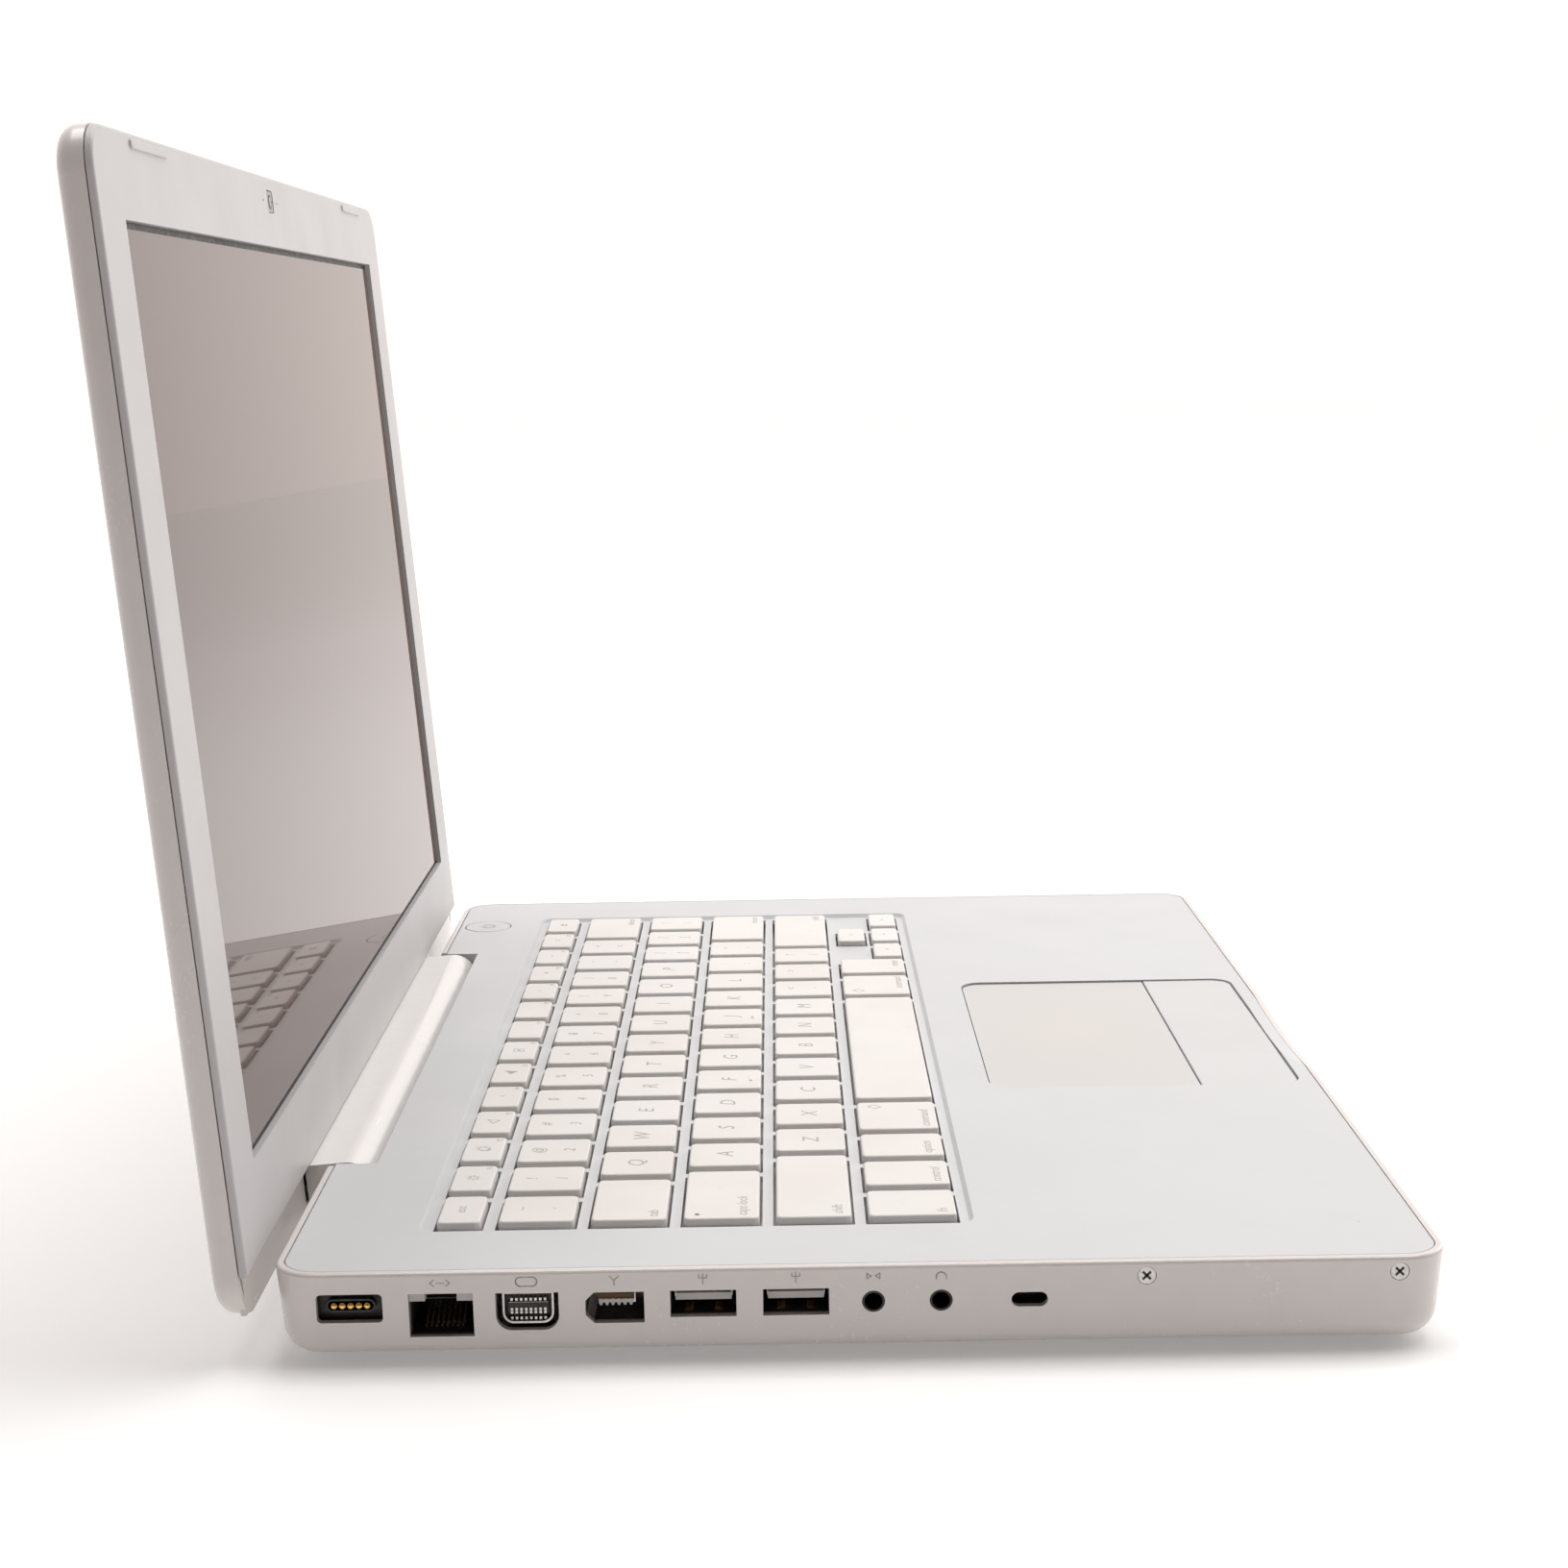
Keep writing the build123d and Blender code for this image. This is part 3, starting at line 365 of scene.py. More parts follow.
def circuit_board():
    """Green lacquer over etched tracks."""
    f = Finish("circuit_board_lacquer", IOR=1.5)
    tracks = f.tree.nodes.new("ShaderNodeTexBrick")
    f.tree.links.new(f.coords, tracks.inputs["Vector"])
    tracks.inputs["Scale"].default_value = 240.0
    tracks.inputs["Mortar Size"].default_value = 0.03
    lacquer = f.mix(f.noise(90, 3), (0.008, 0.075, 0.035), (0.014, 0.11, 0.05))
    f.colour(f.mix(tracks.outputs["Fac"], lacquer, (0.03, 0.17, 0.07)))
    f.roughness(f.span(f.noise(120, 2), 0.3, 0.7, 0.25, 0.4))
    f.bump(tracks.outputs["Fac"], 0.3, 0.00003)
    return f.material


def rubber(name, light, dark):
    """A dull, grainy soft surface."""
    f = Finish(name, IOR=1.45)
    f.colour(f.mix(f.noise(200, 4), light, dark))
    f.roughness(f.span(f.noise(500, 3), 0.3, 0.7, 0.7, 0.9))
    f.bump(f.noise(1500, 3), 0.3, 0.00005)
    return f.material


def printed_ink(name, shade):
    """Pale grey ink, a little broken where fingers have rubbed it."""
    f = Finish(name, IOR=1.45)
    rubbed = f.span(f.noise(700, 3), 0.5, 0.75, 0.0, 0.45)
    f.colour(f.mix(rubbed, shade, (0.66, 0.65, 0.63)))
    f.roughness(f.span(f.noise(400, 2), 0.3, 0.7, 0.45, 0.65))
    return f.material


def clear_lens():
    """Coated lens glass, near black with a faint purple cast."""
    f = Finish("lens_coating", IOR=1.6, Coat_Weight=0.6, Coat_Roughness=0.03)
    cast = f.span(f.noise(500, 2), 0.3, 0.7)
    f.colour(f.mix(cast, (0.012, 0.010, 0.022), (0.035, 0.018, 0.030)))
    f.roughness(f.span(f.noise(300, 2), 0.3, 0.7, 0.04, 0.10))
    return f.material


def lamp_plastic():
    """The dark green window of an indicator lamp that is off."""
    f = Finish("indicator_window", IOR=1.5)
    f.colour(f.mix(f.noise(900, 2), (0.05, 0.09, 0.045), (0.08, 0.12, 0.06)))
    f.roughness(f.span(f.noise(600, 2), 0.3, 0.7, 0.2, 0.35))
    return f.material


MATERIALS = {
    "gloss_white_case": gloss_white(
        "gloss_white_polycarbonate", (0.705, 0.672, 0.655), (0.690, 0.650, 0.628)),
    "satin_white_deck": satin_white(
        "satin_white_deck", (0.630, 0.646, 0.664), (0.612, 0.626, 0.642), 0.36, 0.50),
    "key_plastic": key_plastic(),
    "touch_surface": touch_surface(),
    "button_plastic": satin_white(
        "button_plastic", (0.625, 0.632, 0.640), (0.605, 0.610, 0.615), 0.30, 0.44),
    "screen_surface": screen_surface(),
    "black_plastic": black_plastic(),
    "plated_steel": metal(
        "plated_steel", (0.60, 0.585, 0.56), (0.48, 0.465, 0.445), 0.26, (0.1, 1.0, 1.0)),
    "grey_lock": satin_white(
        "grey_lock_plastic", (0.36, 0.36, 0.36), (0.31, 0.31, 0.31), 0.35, 0.5),
    "circuit_board": circuit_board(),
    "copper": metal(
        "copper_plate", (0.78, 0.42, 0.27), (0.60, 0.30, 0.19), 0.3, (1.0, 0.15, 1.0)),
    "light_metal": metal(
        "pressed_aluminium", (0.72, 0.72, 0.73), (0.58, 0.58, 0.60), 0.34, (0.08, 1.0, 1.0)),
    "foot_rubber": rubber("foot_rubber", (0.34, 0.335, 0.33), (0.28, 0.275, 0.27)),
}
BLACK = MATERIALS["black_plastic"]
GOLD = metal("gold_contact", (0.95, 0.62, 0.22), (0.75, 0.45, 0.15), 0.2, (1.0, 1.0, 0.2))
SILVER = metal("tin_contact", (0.66, 0.64, 0.61), (0.52, 0.50, 0.47), 0.28, (1.0, 1.0, 0.2))
BRONZE = rubber("dark_bronze_moulding", (0.16, 0.09, 0.035), (0.09, 0.05, 0.022))
SHIELD_GREY = satin_white(
    "jack_front_moulding", (0.50, 0.47, 0.45), (0.44, 0.42, 0.40), 0.35, 0.5)
LEGEND_INK = printed_ink("legend_ink", (0.40, 0.385, 0.37))
PORT_INK = printed_ink("port_ink", (0.36, 0.34, 0.33))
LENS = clear_lens()
CAMERA_FILM = camera_film()
# painted light: the case's gloss white made lighter for the hinge cover, which sits in the lid's shade
COVER_PAINTED_LIGHT = gloss_white("gloss_white_hinge_cover_painted_light", (0.86, 0.85, 0.84), (0.84, 0.825, 0.81))
# painted shade: the deck's satin white made darker for the upright bezel, which takes less light
BEZEL_PAINTED_SHADE = satin_white(
    "satin_white_bezel_painted_shade", (0.560, 0.552, 0.555), (0.540, 0.530, 0.530), 0.36, 0.50)
LAMP = lamp_plastic()
SOCKET_WHITE = satin_white(
    "socket_insulator", (0.50, 0.485, 0.465), (0.44, 0.425, 0.405), 0.35, 0.5)
FELT = rubber("black_felt", (0.020, 0.019, 0.019), (0.045, 0.043, 0.042))


NODE_FINISHES = {            # nodes whose finish differs from that of their slot
    "camera_window": CAMERA_FILM,
    # painted shade: a darker copy of the satin white
    "display_bezel": BEZEL_PAINTED_SHADE,
    # painted light: a lighter copy of the gloss white
    "hinge_cover": COVER_PAINTED_LIGHT,
}


def finish_cad_nodes():
    """Give every CAD node the finish of its own material slot, or its own finish."""
    for name, node in nodes.items():
        slot_name = node.data.materials[0].name.split(".")[0]
        node.data.materials[0] = NODE_FINISHES.get(name, MATERIALS[slot_name])


# ---------------------------------------------------------------- mesh building
SHARP_ANGLE = math.radians(35.0)
STROKE_LAP = 0.6             # share of its half width by which a stroke runs past its ends


class Piece:
    """Closed solids gathered into one mesh."""

    def __init__(self, name):
        self.name = name
        self.points = []
        self.faces = []

    def add(self, points, faces):
        """Join on one more closed solid."""
        start = len(self.points)
        self.points += [tuple(p) for p in points]
        self.faces += [tuple(start + i for i in face) for face in faces]

    def prism(self, outline, low, high, place):
        """A flat counter-clockwise outline, carried from low to high along the third axis."""
        count = len(outline)
        points = [place @ Vector((u, v, w)) for w in (low, high) for u, v in outline]
        sides = [(i, (i + 1) % count, count + (i + 1) % count, count + i) for i in range(count)]
        ends = [tuple(range(count - 1, -1, -1)), tuple(range(count, 2 * count))]
        self.add(points, sides + ends)

    def lathe(self, profile, place, steps):
        """Radius and height pairs, from axis to axis upwards, turned round the third axis."""
        points = [place @ Vector((0, 0, profile[0][1]))]
        for radius, height in profile[1:-1]:
            for i in range(steps):
                angle = 2 * math.pi * i / steps
                u, v = radius * math.cos(angle), radius * math.sin(angle)
                points.append(place @ Vector((u, v, height)))
        points.append(place @ Vector((0, 0, profile[-1][1])))
        last = len(points) - 1
        rings = len(profile) - 2
        faces = []
        for i in range(steps):
            j = (i + 1) % steps
            faces.append((0, 1 + j, 1 + i))
            for ring in range(rings - 1):
                a, b = 1 + ring * steps, 1 + (ring + 1) * steps
                faces.append((a + i, a + j, b + j, b + i))
            top = 1 + (rings - 1) * steps
            faces.append((top + i, top + j, last))
        self.add(points, faces)

    def ribbon(self, line, width, thickness, place):
        """A flat stroke of even width along a line of points."""
        for (u0, v0), (u1, v1) in zip(line, line[1:]):
            along = Vector((u1 - u0, v1 - v0)).normalized() * width / 2
            side = Vector((-along.y, along.x))
            lap = along * STROKE_LAP
            a, b = Vector((u0, v0)) - lap, Vector((u1, v1)) + lap
            outline = [tuple(a - side), tuple(b - side), tuple(b + side), tuple(a + side)]
            self.prism(outline, -thickness / 2, thickness / 2, place)

    def build(self, body, material):
        """Make the mesh object, let it ride its body and fill its slot."""
        mesh = bpy.data.meshes.new(self.name)
        mesh.from_pydata(self.points, [], self.faces)
        mesh.materials.append(material)
        mesh.polygons.foreach_set("use_smooth", [True] * len(self.faces))
        mesh.set_sharp_from_angle(angle=SHARP_ANGLE)
        mesh.update()
        piece = bpy.data.objects.new(self.name, mesh)
        scene.collection.objects.link(piece)
        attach(piece, body)


def rounded(width, height, radius, steps=5):
    """Outline of a rectangle with rounded corners, about its middle."""
    corners = ((1, -1, -90), (1, 1, 0), (-1, 1, 90), (-1, -1, 180))
    outline = []
    for side_u, side_v, start in corners:
        u, v = side_u * (width / 2 - radius), side_v * (height / 2 - radius)
        for i in range(steps + 1):
            angle = math.radians(start + 90 * i / steps)
            outline.append((u + radius * math.cos(angle), v + radius * math.sin(angle)))
    return outline


def in_mm(*pairs):
    """Pairs given in millimetres, as metres."""
    return [(a * MM, b * MM) for a, b in pairs]


def arc(middle, radius, start, sweep, steps=14):
    """Points of an arc; angles in degrees, counter-clockwise from the right."""
    angles = [math.radians(start + sweep * i / steps) for i in range(steps + 1)]
    return [(middle[0] + radius * math.cos(a), middle[1] + radius * math.sin(a)) for a in angles]


def place_at(origin, right, up):
    """A frame with its first axis to the right, its second up and its third towards the eye."""
    right, up = Vector(right).normalized(), Vector(up).normalized()
    turn = Matrix((right, up, right.cross(up))).transposed().to_4x4()
    return Matrix.Translation(Vector(origin)) @ turn


# ---------------------------------------------------------------- key legends
KEY_GAP = 3.4 * MM           # between the tops of neighbouring caps
PRINT = 0.012 * MM           # half thickness of a printed mark
LETTER = 5.2 * MM            # sizes of lettering
SMALL = 3.6 * MM
WORD = 3.1 * MM
TINY = 1.9 * MM
SLANT = 0.18                 # of the lettering
letter_shapes = {}


def letter_shape(words):
    """Points and faces of slanted lettering of unit size, two units thick, made once."""
    if words not in letter_shapes:
        curve = bpy.data.curves.new("lettering", "FONT")
        curve.body = words
        curve.extrude = 1.0
        curve.shear = SLANT
        curve.resolution_u = 3
        holder = bpy.data.objects.new("lettering", curve)
        scene.collection.objects.link(holder)
        bpy.context.view_layer.update()
        shown = holder.evaluated_get(bpy.context.evaluated_depsgraph_get())
        mesh = bpy.data.meshes.new_from_object(shown)
        points = [tuple(v.co) for v in mesh.vertices]
        faces = [tuple(p.vertices) for p in mesh.polygons]
        bpy.data.meshes.remove(mesh)
        bpy.data.objects.remove(holder)
        bpy.data.curves.remove(curve)
        letter_shapes[words] = points, faces
    return letter_shapes[words]


def write(piece, words, place, size, along=0.5, up=0.5):
    """Lettering whose box is set by its share along and up: 0.5 and 0.5 centre it on the place."""
    points, faces = letter_shape(words)
    low_u, high_u = min(p[0] for p in points), max(p[0] for p in points)
    low_v, high_v = min(p[1] for p in points), max(p[1] for p in points)
    shift_u = low_u + (high_u - low_u) * along
    shift_v = low_v + (high_v - low_v) * up
    moved = [place @ Vector(((u - shift_u) * size, (v - shift_v) * size, w * PRINT))
             for u, v, w in points]
    piece.add(moved, faces)


def on_top(x, y, z):
    """A place on a level face, read from the front."""
    return place_at((x, y, z), (1, 0, 0), (0, 1, 0))


def key_spots(node, count):
    """Middle and half size of each cap in a row of equal caps."""
    low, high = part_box(node)
    pitch = (high.x - low.x + KEY_GAP) / count
    half = Vector(((pitch - KEY_GAP) / 2, (high.y - low.y) / 2))
    y = (low.y + high.y) / 2
    return [(Vector((low.x + i * pitch + half.x, y, high.z)), half) for i in range(count)]


ROWS = {
    "number_keys": ("`~", "1!", "2@", "3#", "4$", "5%", "6^", "7&", "8*", "9(", "0)", "-_", "=+"),
    "upper_letter_keys": ("Q", "W", "E", "R", "T", "Y", "U", "I", "O", "P", "[{", "]}", "\\|"),
    "home_letter_keys": ("A", "S", "D", "F", "G", "H", "J", "K", "L", ";:", "'\""),
    "lower_letter_keys": ("Z", "X", "C", "V", "B", "N", "M", ",<", ".>", "/?"),
    "left_arrow_key": ("◂",),
    "down_arrow_key": ("▾",),
    "right_arrow_key": ("▸",),
    "up_arrow_key": ("▴",),
}
WORDS = {                    # word and the share of the cap's width that it is lined up to
    "tab_key": ("tab", 0.0),
    "caps_lock_key": ("caps lock", 0.0),
    "left_shift_key": ("shift", 0.0),
    "left_command_key": ("command", 0.0),
    "right_command_key": ("command", 1.0),
    "right_shift_key": ("shift", 1.0),
    "return_key": ("return", 1.0),
    "delete_key": ("delete", 1.0),
}
FUNCTION_MARKS = ("esc", "☼", "☀", "◁", "◃", "◄", "▣",
                  "", "", "▫", "▪", "–", "=", "⏏")
EDGE = 1.9 * MM              # from a word to the cap's edge
LOW_CAP_HALF = 5 * MM        # caps no deeper than twice this have the small lettering
PAIR_SPREAD = 0.42           # of the half depth, from the middle to each glyph of a pair
DIAMOND_RISE = 0.55          # of the half depth, from the middle to the diamond


def row_legends():
    """One glyph in the middle of a letter cap, or two above each other on the others."""
    for node, marks in ROWS.items():
        piece = Piece(f"{node}_legends")
        for (middle, half), mark in zip(key_spots(node, len(marks)), marks):
            if len(mark) == 1:
                size = LETTER if half.y > LOW_CAP_HALF else SMALL
                write(piece, mark, on_top(*middle), size)
                continue
            for glyph, side in zip(mark, (-1, 1)):
                place = on_top(middle.x, middle.y + side * half.y * PAIR_SPREAD, middle.z)
                write(piece, glyph, place, SMALL)
        piece.build(node, LEGEND_INK)


def word_legends():
    """Words in the near corner of wide caps, and the diamond of the command caps."""
    for node, (word, side) in WORDS.items():
        piece = Piece(f"{node}_legend")
        middle, half = key_spots(node, 1)[0]
        x = middle.x + (2 * side - 1) * (half.x - EDGE)
        write(piece, word, on_top(x, middle.y - half.y + EDGE, middle.z), WORD, side, 0.0)
        if "command" in node:
            far_x = middle.x + (1 - 2 * side) * (half.x - 2 * EDGE)
            place = on_top(far_x, middle.y + half.y * DIAMOND_RISE, middle.z)
            write(piece, "◇", place, SMALL)
        piece.build(node, LEGEND_INK)


def function_legends():
    """A sign in the middle of each low cap and its F number in the corner."""
    piece = Piece("function_keys_legends")
    for i, (middle, half) in enumerate(key_spots("function_keys", len(FUNCTION_MARKS))):
        if FUNCTION_MARKS[i]:
            size = WORD if i == 0 else SMALL
            write(piece, FUNCTION_MARKS[i], on_top(*middle), size)
        if 0 < i < len(FUNCTION_MARKS) - 1:
            corner = on_top(middle.x + half.x - 1.2 * MM, middle.y - half.y + 1.0 * MM, middle.z)
            write(piece, f"F{i}", corner, TINY, 1.0, 0.0)
    piece.build("function_keys", LEGEND_INK)


def modifier_legends():
    """Three caps from the left end and one far to the right share this node."""
    piece = Piece("modifier_keys_legends")
    low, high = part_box("modifier_keys")
    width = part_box("left_arrow_key")[1].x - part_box("left_arrow_key")[0].x
    pitch = width + KEY_GAP
    lefts = [low.x, low.x + pitch, low.x + 2 * pitch, high.x - width]
    for left, word in zip(lefts, ("fn", "control", "option", "enter")):
        side = 1.0 if word == "enter" else 0.0
        x = left + EDGE + side * (width - 2 * EDGE)
        write(piece, word, on_top(x, low.y + EDGE, high.z), WORD, side, 0.0)
    piece.build("modifier_keys", LEGEND_INK)


def home_bars():
    """The two raised bars that the forefingers find."""
    piece = Piece("home_key_bars")
    spots = key_spots("home_letter_keys", len(ROWS["home_letter_keys"]))
    for i in (3, 6):
        middle, half = spots[i]
        place = on_top(middle.x, middle.y - half.y + 2.6 * MM, middle.z)
        piece.prism(rounded(3.6 * MM, 0.7 * MM, 0.34 * MM), -0.1 * MM, 0.22 * MM, place)
    piece.build("home_letter_keys", MATERIALS["key_plastic"])


def caps_lock_lamp():
    """The small green lamp in the far left corner of the caps lock cap."""
    piece = Piece("caps_lock_lamp")
    middle, half = key_spots("caps_lock_key", 1)[0]
    place = on_top(middle.x - half.x + 2.6 * MM, middle.y + half.y - 2.8 * MM, middle.z)
    dome = in_mm((0, -0.2), (0.55, -0.2), (0.55, 0.02), (0.35, 0.06), (0, 0.08))
    piece.lathe(dome, place, 16)
    piece.build("caps_lock_key", LAMP)


def power_mark():
    """A broken ring with an upright stroke, printed on the power button."""
    piece = Piece("power_button_mark")
    low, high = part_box("power_button")
    place = on_top((low.x + high.x) / 2, (low.y + high.y) / 2, high.z)
    gap, stroke = 38, 0.4 * MM
    ring = arc((0, 0), 1.9 * MM, 90 - gap, 2 * gap - 360, 22)
    piece.ribbon(ring, stroke, 2 * PRINT, place)
    piece.ribbon(in_mm((0, 0.5), (0, 2.4)), stroke, 2 * PRINT, place)
    piece.build("power_button", LEGEND_INK)


# ---------------------------------------------------------------- left wall
MOUNTS = {m["name"]: Vector(m["pos_m"]) for m in frame["record"]["mounts"]}
PORT_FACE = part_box("data_sockets")[0].x      # front face of the connectors
HALF_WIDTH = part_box("lid_back_cover")[1].x
DECK_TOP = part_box("top_case")[1].z
DRAFT = math.tan(math.radians(5))


def port_place(mount):
    """Middle of a connector's front face; the third axis points out of the wall."""
    spot = MOUNTS[mount]
    return place_at((PORT_FACE, spot.y, spot.z), (0, -1, 0), (0, 0, 1))


def wall_place(y, z):
    """A place on the leaning left wall."""
    x = -HALF_WIDTH + (DECK_TOP - z) * DRAFT
    return place_at((x, y, z), (0, -1, 0), (-DRAFT, 0, 1))


def inward(place, u):
    """A place this far along the wall, whose first axis runs into the socket and second up."""
    return place_at(place @ Vector((u, 0, 0)), place.to_3x3() @ Vector((0, 0, -1)), (0, 0, 1))


def box_outline(u0, u1, v0, v1):
    """The four corners of a rectangle, counter-clockwise."""
    return [(u0, v0), (u1, v0), (u1, v1), (u0, v1)]


def liner(piece, width, height, front, depth, place, wall=0.15 * MM):
    """A thin open box that lines a socket: four walls and a back."""
    u, v = width / 2, height / 2
    back = front - depth
    for outline in (box_outline(-u, -u + wall, -v, v), box_outline(u - wall, u, -v, v),
                    box_outline(-u + wall, u - wall, -v, -v + wall),
                    box_outline(-u + wall, u - wall, v - wall, v)):
        piece.prism(outline, back, front, place)
    piece.prism(box_outline(-u, u, -v, v), back - wall, back, place)


def teeth(piece, count, pitch, width, v0, v1, w0, w1, place, shift=0.0):
    """A row of small bars, v0 to v1 high and w0 to w1 deep, its middle moved by the shift."""
    for i in range(count):
        middle = shift + (i - (count - 1) / 2) * pitch
        piece.prism(box_outline(middle - width / 2, middle + width / 2, v0, v1), w0, w1, place)


def power_contacts():
    """Five domed gilt pins on a brown bar, in the shallow recess of the power inlet."""
    place = port_place("power_inlet")
    bar = Piece("inlet_contact_bar")
    bar.prism(rounded(8.8 * MM, 1.9 * MM, 0.9 * MM), -0.2 * MM, 0.3 * MM, place)
    bar.build("base", BRONZE)
    pins = Piece("inlet_contact_pins")
    dome = in_mm((0, 0.1), (0.66, 0.1), (0.66, 0.62), (0.5, 0.82), (0.26, 0.93), (0, 0.96))
    for i in range(-2, 3):
        pin = place @ Matrix.Translation((i * 1.6 * MM, 0, 0))
        pins.lathe(dome, pin, 18)
    pins.build("base", GOLD)


def network_contacts():
    """Dark lining, grey shoulders and eight slanting contact wires of the network jack."""
    place = port_place("ethernet")
    low = -4.5 * MM          # the mouth's lower edge
    lining = Piece("network_jack_lining")
    mouth = place @ Matrix.Translation((0, low + 3.6 * MM, 0))
    liner(lining, 12.38 * MM, 7.18 * MM, -0.5 * MM, 12.3 * MM, mouth)
    lining.build("base", BLACK)
    face = Piece("network_jack_face")
    for side in (-1, 1):
        u0, u1 = sorted((side * 3.05 * MM, side * 6.16 * MM))
        face.prism(box_outline(u0, u1, low + 7.3 * MM, low + 8.96 * MM), 0.02 * MM, 1.6 * MM, place)
    face.build("base", SHIELD_GREY)
    wires = Piece("network_jack_wires")
    strip = in_mm((2.5, -4.0), (11.5, -1.2), (11.5, -0.8), (2.5, -3.6))
    for i in range(8):
        u = (i - 3.5) * 1.02 * MM
        wires.prism(strip, -0.17 * MM, 0.17 * MM, inward(place, u))
    wires.build("base", BRONZE)


def video_contacts():
    """Black insert with its tongue, and four rows of contacts, in the video socket's ring."""
    place = port_place("video_out")
    insert = Piece("video_socket_insert")
    inner = rounded(8.9 * MM, 5.5 * MM, 0.6 * MM)
    insert.prism(inner, -9.5 * MM, -1.6 * MM, place @ Matrix.Translation((0, 0.1 * MM, 0)))
    insert.prism(box_outline(-3.9 * MM, 3.9 * MM, -1.2 * MM, 0.8 * MM), -9.5 * MM, -0.7 * MM, place)
    insert.build("base", BLACK)
    rows = Piece("video_socket_contacts")
    for v0, v1 in ((1.25, 1.8), (-0.75, -0.2), (-1.35, -0.85), (-2.6, -2.0)):
        teeth(rows, 8, 0.92 * MM, 0.46 * MM, v0 * MM, v1 * MM, -1.7 * MM, -0.55 * MM, place)
    rows.build("base", SILVER)


def serial_contacts():
    """Dark lining, brown tongue and two rows of six pale teeth of the serial bus socket."""
    place = port_place("serial_bus")
    lining = Piece("serial_socket_lining")
    liner(lining, 11.28 * MM, 6.38 * MM, -0.4 * MM, 11.0 * MM, place, 0.12 * MM)
    lining.build("base", BLACK)
    tongue = Piece("serial_socket_tongue")
    tongue.prism(box_outline(-3.4 * MM, 3.6 * MM, 0.7 * MM, 1.9 * MM), -10.5 * MM, -0.6 * MM, place)
    tongue.build("base", BRONZE)
    contacts = Piece("serial_socket_contacts")
    pitch, back, shift = 1.16 * MM, -6.0 * MM, 0.1 * MM
    for width, v0, v1, front in ((0.84, 0.05, 0.95, -0.3), (0.5, -0.35, 0.05, -0.35)):
        teeth(contacts, 6, pitch, width * MM, v0 * MM, v1 * MM, back, front * MM, place, shift)
    contacts.build("base", SOCKET_WHITE)


def data_contacts():
    """Pale tongue, contact strips and spring leaves of each flat data socket."""
    leaf = in_mm((1.6, -2.7), (3.6, -2.1), (5.6, -2.7), (5.6, -2.5), (3.6, -1.9), (1.6, -2.5))
    for name in ("rear", "front"):
        place = port_place(f"data_socket_{name}")
        lining = Piece(f"data_socket_{name}_lining")
        liner(lining, 12.68 * MM, 5.48 * MM, -0.35 * MM, 12.4 * MM, place, 0.12 * MM)
        lining.build("base", BLACK)
        tongue = Piece(f"data_socket_{name}_tongue")
        outline = box_outline(-5.4 * MM, 5.4 * MM, 0.05 * MM, 1.4 * MM)
        tongue.prism(outline, -12.0 * MM, -0.1 * MM, place)
        tongue.build("base", SOCKET_WHITE)
        strips = Piece(f"data_socket_{name}_contacts")
        for u in (-3.5, -1.0, 1.0, 3.5):
            outline = box_outline((u - 0.5) * MM, (u + 0.5) * MM, -0.1 * MM, 0.08 * MM)
            strips.prism(outline, -9.0 * MM, -2.0 * MM, place)
        for u in (-2.9, 2.9):
            strips.prism(leaf, -0.8 * MM, 0.8 * MM, inward(place, u * MM))
        strips.build("base", GOLD)


def lock_slot_pocket():
    """Black pocket behind the cable lock slot."""
    spot = MOUNTS["lock_slot"]
    piece = Piece("lock_slot_pocket")
    place = place_at((PORT_FACE - 0.3 * MM, spot.y, spot.z), (0, -1, 0), (0, 0, 1))
    liner(piece, 8.0 * MM, 4.0 * MM, 0, 4.0 * MM, place, 0.4 * MM)
    piece.build("base", BLACK)


FORK = [[(-0.8, 0.9), (-0.8, 0.2), (0.8, 0.2), (0.8, 0.9)], [(0.0, 1.1), (0.0, -1.1)]]
PORT_MARKS = {               # strokes about the middle of each mark, in units of MARK_SCALE
    "ethernet": [[(-1.2, 0.7), (-2.0, 0.0), (-1.2, -0.7)], [(1.2, 0.7), (2.0, 0.0), (1.2, -0.7)],
                 [(-0.75, 0.0), (-0.45, 0.0)], [(-0.1, 0.0), (0.2, 0.0)], [(0.5, 0.0), (0.8, 0.0)]],
    "video_out": [arc((-1.15, 0), 1.0, 90, 180) + arc((1.15, 0), 1.0, -90, 180) + [(-1.15, 1.0)]],
    "serial_bus": [[(-0.9, 0.9), (0.0, 0.0), (0.9, 0.9)], [(0.0, 0.0), (0.0, -1.1)]],
    "data_socket_rear": FORK,
    "data_socket_front": FORK,
    "audio_in": [[(-1.3, 0.6), (-0.4, 0.0), (-1.3, -0.6), (-1.3, 0.6)],
                 [(1.3, 0.6), (0.4, 0.0), (1.3, -0.6), (1.3, 0.6)]],
    "audio_out": [arc((0, -0.4), 1.0, 0, 180),
                  [(-1.0, -0.4), (-1.0, -0.9)], [(1.0, -0.4), (1.0, -0.9)]],
}
MARK_Z = 17.1 * MM
MARK_SCALE = 0.95            # of a millimetre
MARK_STROKE = 0.26 * MM


def port_marks():
    """Plain printed marks above the ports."""
    piece = Piece("port_marks")
    for mount, strokes in PORT_MARKS.items():
        place = wall_place(MOUNTS[mount].y, MARK_Z)
        for line in strokes:
            line = [(u * MM * MARK_SCALE, v * MM * MARK_SCALE) for u, v in line]
            piece.ribbon(line, MARK_STROKE, 2 * PRINT, place)
    piece.build("base", PORT_INK)


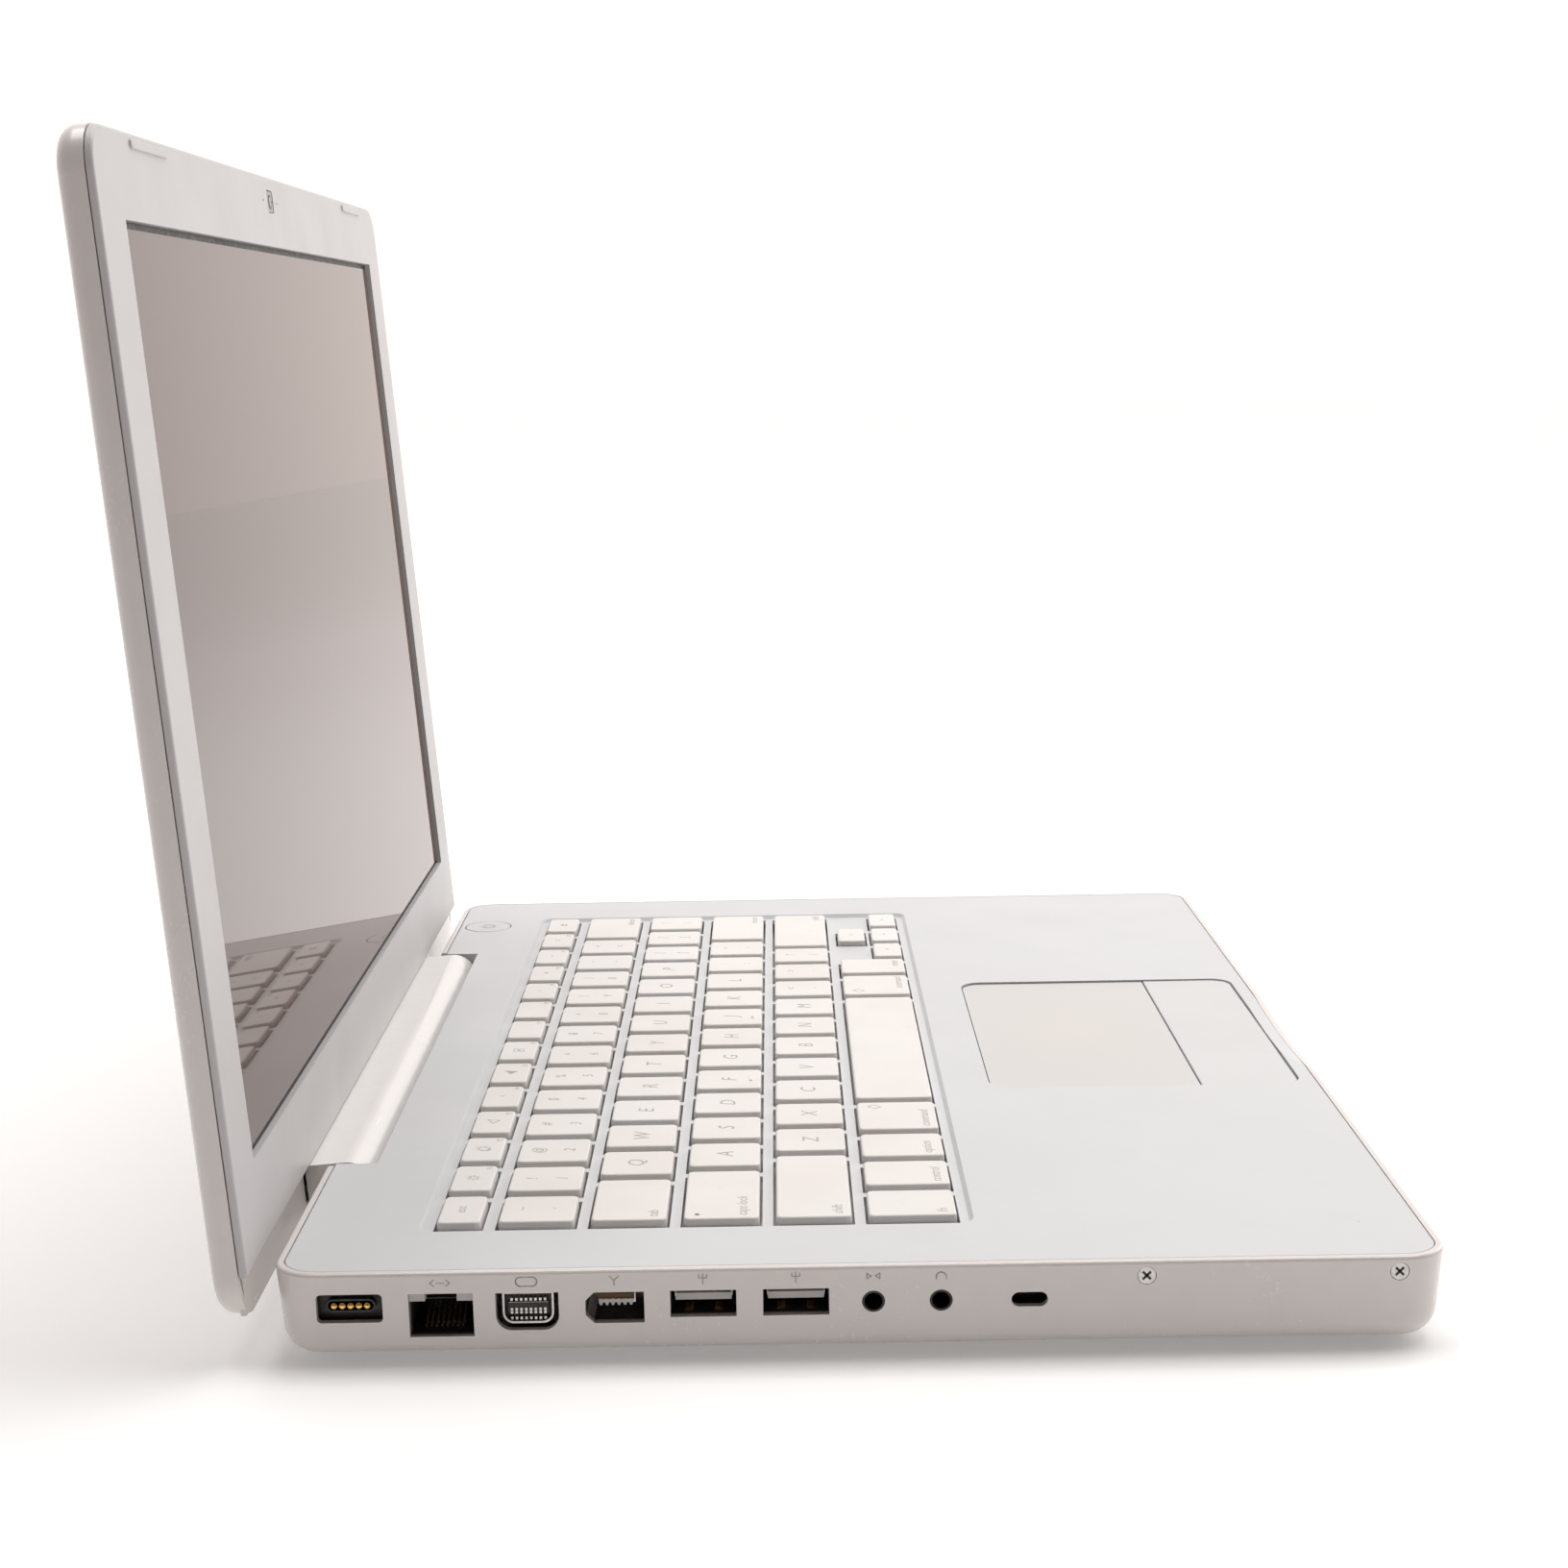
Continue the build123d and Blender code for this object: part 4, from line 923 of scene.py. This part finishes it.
def screw_recesses():
    """Painted shade: a black fill in the cross recess of each side screw."""
    low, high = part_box("case_screws")
    head = 1.72 * MM         # the head's radius
    sink = 0.5 * MM          # from the head's face to the recess floor
    piece = Piece("case_screw_recess_painted_shade")
    for side in (-1, 1):
        for y in (low.y + head, high.y - head):
            origin = (side * (high.x - sink), y, high.z - head)
            place = place_at(origin, (0, side, 0), (0, 0, 1))
            for turn in (45, 135):
                cross = place @ Matrix.Rotation(math.radians(turn), 4, "Z")
                arm = box_outline(-1.08 * MM, 1.08 * MM, -0.23 * MM, 0.23 * MM)
                piece.prism(arm, 0.02 * MM, 0.38 * MM, cross)
    piece.build("base", BLACK)


# ---------------------------------------------------------------- right wall
def disc_slot_lips():
    """Two felt lips that keep dust out of the disc slot."""
    spot = MOUNTS["disc_slot"]
    piece = Piece("disc_slot_felt_lips")
    place = place_at((spot.x - 3.0 * MM, spot.y, spot.z), (0, 1, 0), (0, 0, 1))
    for v0, v1 in ((-1.1, -0.08), (0.08, 1.1)):
        lip = box_outline(-60.2 * MM, 60.2 * MM, v0 * MM, v1 * MM)
        piece.prism(lip, -0.8 * MM, 0.8 * MM, place)
    piece.build("base", FELT)


# ---------------------------------------------------------------- lid
def lid_turn():
    """From the shut lid's place to its place at rest, about the hinge."""
    hinge = next(j for j in frame["joints"] if j["name"] == "lid_hinge")
    pin = Matrix.Translation(hinge["pos_m"])
    turn = Matrix.Rotation(math.radians(-hinge["range_deg"][0]), 4, Vector(hinge["axis"]))
    return pin @ turn @ pin.inverted()


def camera_parts():
    """Lens and lamp behind the small window above the screen."""
    low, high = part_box("camera_window")
    shut = lid_turn().inverted() @ ((low + high) / 2)
    face = shut + Vector((0, 0, -0.6 * MM))
    place = lid_turn() @ place_at(face, (1, 0, 0), (0, -1, 0))
    ring = Piece("camera_lens_ring")
    disc = in_mm((0, -0.1), (1.75, -0.1), (1.75, 0.03), (1.5, 0.05), (0, 0.05))
    ring.lathe(disc, place, 28)
    ring.build("lid", BLACK)
    lens = Piece("camera_lens")
    dome = in_mm((0, 0.0), (1.25, 0.0), (1.2, 0.07), (0.8, 0.11), (0, 0.13))
    lens.lathe(dome, place, 28)
    lens.build("lid", LENS)
    lamp = Piece("camera_lamp")
    beside = place @ Matrix.Translation((2.6 * MM, 0, 0))
    lamp.lathe(in_mm((0, -0.1), (0.35, -0.1), (0.35, 0.04), (0, 0.05)), beside, 14)
    lamp.build("lid", LAMP)


# ---------------------------------------------------------------- underside
def battery_gauge():
    """A push button and five charge lamps, all but flush with the battery's outer face."""
    low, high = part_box("battery")
    y = high.y - 9 * MM
    face = place_at((high.x - 26 * MM, y, low.z), (-1, 0, 0), (0, 1, 0))
    button = Piece("battery_gauge_button")
    cap = in_mm((0, -0.3), (2.6, -0.3), (2.6, 0.05), (2.3, 0.12), (0, 0.12))
    button.lathe(cap, face, 28)
    button.build("battery", MATERIALS["grey_lock"])
    lamps = Piece("battery_gauge_lamps")
    bead = in_mm((0, -0.2), (0.6, -0.2), (0.6, 0.03), (0, 0.05))
    for i in range(5):
        spot = face @ Matrix.Translation(((7 + 3.2 * i) * MM, 0, 0))
        lamps.lathe(bead, spot, 14)
    lamps.build("battery", LAMP)


finish_cad_nodes()
row_legends()
word_legends()
function_legends()
modifier_legends()
home_bars()
caps_lock_lamp()
power_mark()
power_contacts()
network_contacts()
video_contacts()
serial_contacts()
data_contacts()
lock_slot_pocket()
port_marks()
screw_recesses()
disc_slot_lips()
camera_parts()
battery_gauge()
